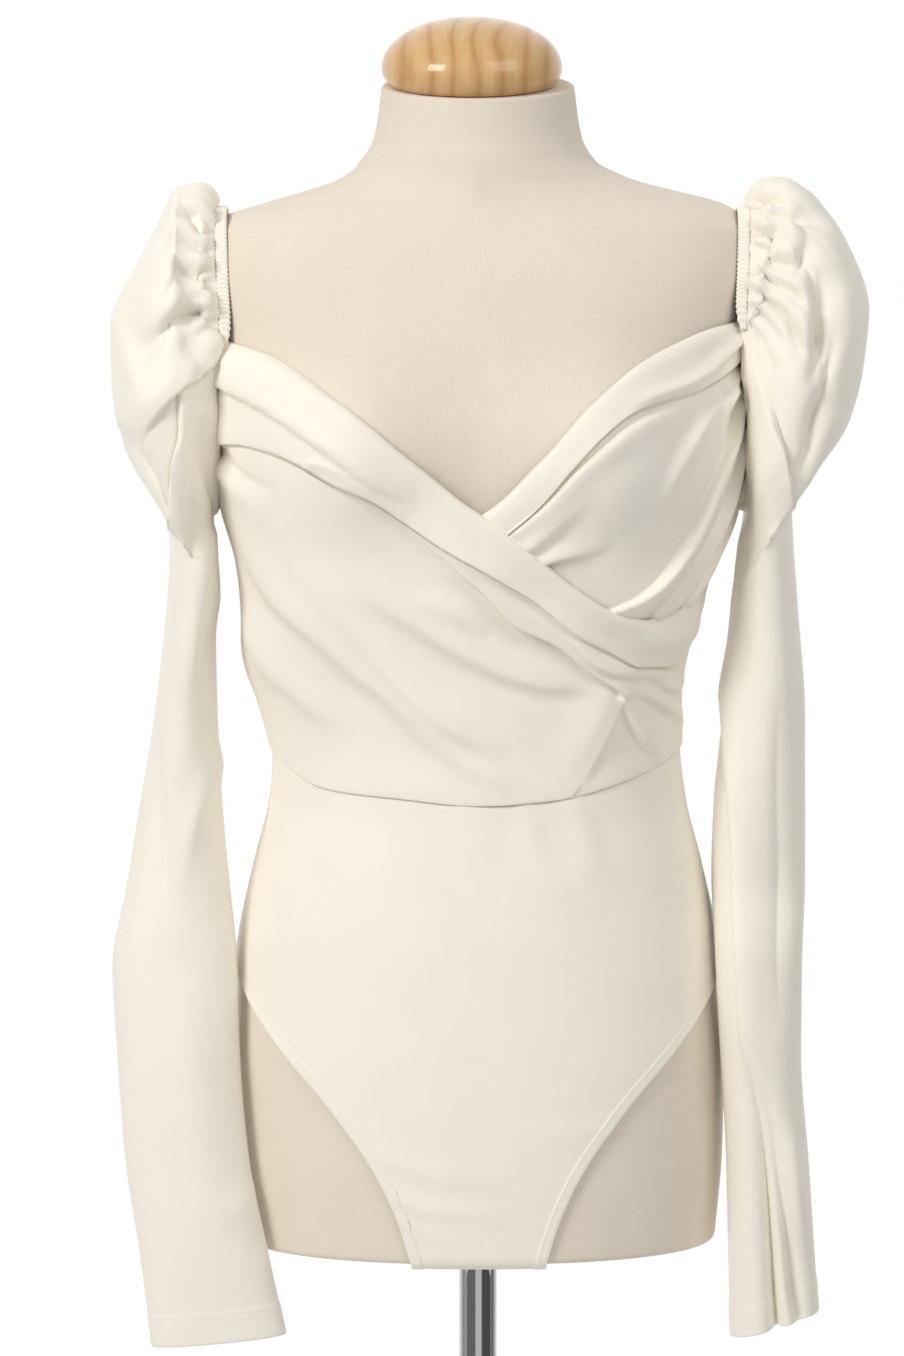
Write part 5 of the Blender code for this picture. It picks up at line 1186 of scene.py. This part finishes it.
def build_neck_cap(wood):
    """A flattened wooden dome that sits on the leaning neck rim, with a shadow line at its foot."""
    profile = [(AXIS, 0.0), (CAP_FOOT - 0.001, 0.0), (CAP_FOOT, 0.0008), (CAP_FOOT + 0.0016, 0.003),
               (CAP_RADIUS - 0.0009, 0.0058), (CAP_RADIUS - 0.0002, 0.0084)]
    profile += [(CAP_RADIUS * math.cos(turn) ** 0.92, CAP_BULGE + (CAP_HEIGHT - CAP_BULGE) * math.sin(turn))
                for turn in np.linspace(0, math.pi / 2, 34)[:-1]]
    points, faces = lathe(profile + [(AXIS, CAP_HEIGHT)], 112)
    lean = math.atan(NECK_TILT)
    turn = np.array(((1, 0, 0), (0, math.cos(lean), -math.sin(lean)), (0, math.sin(lean), math.cos(lean))))
    points = points @ turn.T + (CAP_SHIFT, 0.0, NECK_RIM + RIM_HEIGHT + 0.0003)
    piece("cap", points, faces, wood, "varnished_wood", ("neck_cap",))


def build_stand(chrome):
    """The pole, with rings near its ends that keep its sides straight, and the round base."""
    low, high = (corner[2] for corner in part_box("stand_pole"))
    corner, bore, floor = POLE_RADIUS - 0.0008, POLE_RADIUS + 0.0003, low - 0.0003
    profile = [(AXIS, low), (corner, low)] + arc((corner, low + 0.0008), 0.0008, -60, 0, 3)
    profile += [(POLE_RADIUS, low + 0.002), (POLE_RADIUS, high - 0.002)]
    profile += arc((corner, high - 0.0008), 0.0008, 0, 60, 3) + [(AXIS, high)]
    piece("pole", *lathe(profile, 96), chrome, "chrome", ("stand_pole",))
    profile = [(AXIS, 0.0), (BASE_RADIUS - 0.0015, 0.0)]
    profile += arc((BASE_RADIUS - 0.0015, 0.0015), 0.0015, -75, 0, 4)
    profile += arc((BASE_RADIUS - 0.0035, BASE_EDGE - 0.0035), 0.0035, 0, 90, 6)
    profile += [(0.110, BASE_EDGE + 0.0012), (0.060, BASE_EDGE + 0.0022),
                (BOSS_RADIUS + BOSS_FLARE, BASE_EDGE + BOSS_FLARE)]
    profile += arc((BOSS_RADIUS + 0.006, BASE_EDGE + 0.010), 0.006, 220, 180, 4)
    profile += arc((BOSS_RADIUS - 0.002, BOSS_HEIGHT - 0.002), 0.002, 0, 90, 5)
    profile += [(bore + 0.0006, BOSS_HEIGHT), (bore, BOSS_HEIGHT - 0.0006), (bore, floor), (AXIS, floor)]
    piece("base", *lathe(profile, 160), chrome, "chrome", ("stand_base",))


def build_snaps(metal):
    nodes = [f"snap_{word}_{number}" for word in ("front", "back") for number in (1, 2, 3)]
    studs = []
    for node in nodes:
        low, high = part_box(node)
        top = high[2]
        profile = [(AXIS / 2, top), (SNAP_RADIUS - 0.0002, top), (SNAP_RADIUS, top - 0.0003)]
        profile += arc((SNAP_RADIUS - 0.0006, top - 0.0008), 0.0006, 0, -80, 4)
        profile += [(0.0030, top - 0.0012), (0.0026, top - 0.0018), (0.0020, top - 0.0020),
                    (AXIS / 2, top - 0.0020)]
        points, faces = lathe(profile, 32)
        studs.append((points + ((low[0] + high[0]) / 2, (low[1] + high[1]) / 2, 0.0), faces))
    piece("snap_studs", *joined(studs), metal, "snap_metal", nodes)


# ---------------------------------------------------------------- light, floor and camera
def area_light(name, place, aim, size, power, colour=(1.0, 1.0, 1.0)):
    light = bpy.data.lights.new(name, "AREA")
    light.shape, light.size, light.energy, light.color = "SQUARE", size, power, colour
    made = add(name, light)
    x, y, z = unit(np.array(place, dtype=float) - aim)
    made.location, made.rotation_euler = place, (math.atan2(math.hypot(x, y), z), 0.0, math.atan2(x, -y))


# Grey levels of the room that lights the part: from in front of it to behind it.
ROOM = ((0.0, 0.62), (0.30, 0.50), (0.50, 0.46), (0.72, 0.86), (1.0, 1.50))
# Dark panels that stand low around the room, by the share of a turn from the back by way of -X, and the
# share of the height they take, from straight down to straight up.
PANELS = ((0.0, 1.0), (0.18, 0.95), (0.24, 0.62), (0.30, 0.95), (0.325, 0.32), (0.455, 0.26), (0.475, 1.0),
          (0.555, 1.0), (0.575, 0.14), (0.715, 0.17), (0.735, 0.62), (0.775, 0.20), (0.81, 0.55), (1.0, 1.0))
PANEL_HEIGHT = ((0.0, 0.0), (0.31, 0.0), (0.36, 1.0), (0.50, 1.0), (0.56, 0.0), (1.0, 0.0))
FLOOR_REACH = 2.6           # the floor fades out into the white room before this radius


def build_world():
    """Bright white to the camera; to the part, a pale studio with a dark side and a bright side."""
    world = bpy.data.worlds.new("studio")
    bpy.context.scene.world = world
    world.use_nodes = True
    world.node_tree.nodes.clear()
    nodes = Nodes(world.node_tree)
    x, y, z = nodes.node("SeparateXYZ", nodes.node("TexCoord").outputs["Generated"]).outputs
    front = nodes.node("Math", y, -1.0, operation="MULTIPLY").outputs["Value"]
    turn = nodes.node("Math", x, front, operation="ARCTAN2").outputs["Value"]
    shade = nodes.multiplied(nodes.ramp(nodes.remap(z, -1.0, 1.0), PANEL_HEIGHT),
                             nodes.ramp(nodes.remap(y, -1.0, 1.0), ROOM),
                             nodes.ramp(nodes.remap(turn, -math.pi, math.pi), PANELS))
    room = nodes.node("Background", Color=shade, Strength=0.85)
    seen = nodes.node("Background", Color=(1, 1, 1, 1), Strength=1.0)
    mix = nodes.node("MixShader", nodes.node("LightPath").outputs["Is Camera Ray"],
                     room.outputs["Background"], seen.outputs["Background"])
    nodes.node("OutputWorld", Surface=mix.outputs["Shader"])


def build_floor():
    turns = np.linspace(0, 2 * math.pi, 96, endpoint=False)
    rim = [(FLOOR_REACH * math.cos(turn), FLOOR_REACH * math.sin(turn), -0.0005) for turn in turns]
    floor = bpy.data.meshes.new("floor")
    floor.from_pydata(rim, [], [tuple(range(len(rim)))])
    shader = Shader("floor", Roughness=0.8)
    place = shader.coordinates("Object", (1.0, 1.0, 0.0))
    mottled(shader, place, (0.90, 0.90, 0.89), (0.92, 0.92, 0.91), Scale=3.0)
    away = shader.node("VectorMath", place, operation="LENGTH").outputs["Value"]
    shader.set(Alpha=shader.remap(away, 0.35, FLOOR_REACH - 0.1, 1.0, 0.0, interpolation_type="SMOOTHSTEP"))
    floor.materials.append(shader.made)
    add("floor", floor)


def build_camera():
    camera = bpy.data.cameras.new("camera")
    camera.sensor_fit, camera.sensor_height, camera.lens = "VERTICAL", 36.0, 104.76
    shot = add("camera", camera)
    shot.location, shot.rotation_euler = (-0.017, -2.6, 1.24), (math.radians(90 - 2.87), 0.0, 0.0)
    bpy.context.scene.camera = shot
    bpy.context.scene.view_settings.view_transform = "Standard"


# ---------------------------------------------------------------- the whole part
def main():
    cloth = knit_material("ivory_jersey", (0.915, 0.865, 0.762), 0.0006, 0.00004, 0.55, 0.12, 0.0004)
    cover = knit_material("ribbed_cover", (0.80, 0.715, 0.60), 0.00125, 0.00016, 0.80, 0.10, 0.0003)
    thread = Shader("thread", Roughness=0.45, Sheen_Weight=0.2)
    mottled(thread, thread.coordinates("Object"), (0.86, 0.85, 0.80), (0.93, 0.92, 0.88), Scale=900.0)
    thread = thread.made
    chrome = metal_material("polished_chrome", (0.82, 0.82, 0.83), 0.07, 60.0)
    metal = metal_material("stud_metal", (0.80, 0.79, 0.75), 0.30, 500.0)
    build_stand(chrome)
    build_form(cover)
    build_neck_cap(wood_material())
    build_front_under(cloth)
    build_front_over(cloth)
    build_back(cloth)
    build_brief("brief_front_panel", "brief_front", 1, 0, waist_edge(-SEAM / 2, BRIEF_COLUMNS),
                BRIEF_FRONT_FOLDS, cloth, thread)
    build_brief("brief_back_panel", "brief_back", 2, 180, back_waist(-SEAM / 2, BRIEF_COLUMNS),
                BRIEF_BACK_FOLDS, cloth, thread)
    build_snaps(metal)
    start = armhole_ring(-1, ARMHOLE_RIGHT, CORNER_RIGHT, OVER_LAYER, OVER_FOLDS)
    build_sleeve("puff_right", "sleeve_right", -1, SLEEVE_RIGHT, start, CORNER_RIGHT, SLEEVE_RIGHT_FRONT,
                 1.3, cloth, thread)
    start = armhole_ring(1, ARMHOLE_LEFT, CORNER_LEFT, UNDER_LAYER, UNDER_FOLDS)
    build_sleeve("puff_left", "sleeve_left", 1, SLEEVE_LEFT, start, CORNER_LEFT, SLEEVE_LEFT_FRONT,
                 4.1, cloth, thread)
    build_elastic("shoulder_right", "elastic_right", -1, CORNER_RIGHT, 1.0, cloth)
    build_elastic("shoulder_left", "elastic_left", 1, CORNER_LEFT, 2.2, cloth)
    build_world()
    area_light("key", (-2.3, -2.2, 2.8), (0.0, 0.0, 1.15), 1.2, 71, (1.0, 0.985, 0.96))
    area_light("fill", (1.6, -1.9, 2.8), (0.0, 0.0, 1.2), 1.6, 22)
    build_floor()
    build_camera()


main()
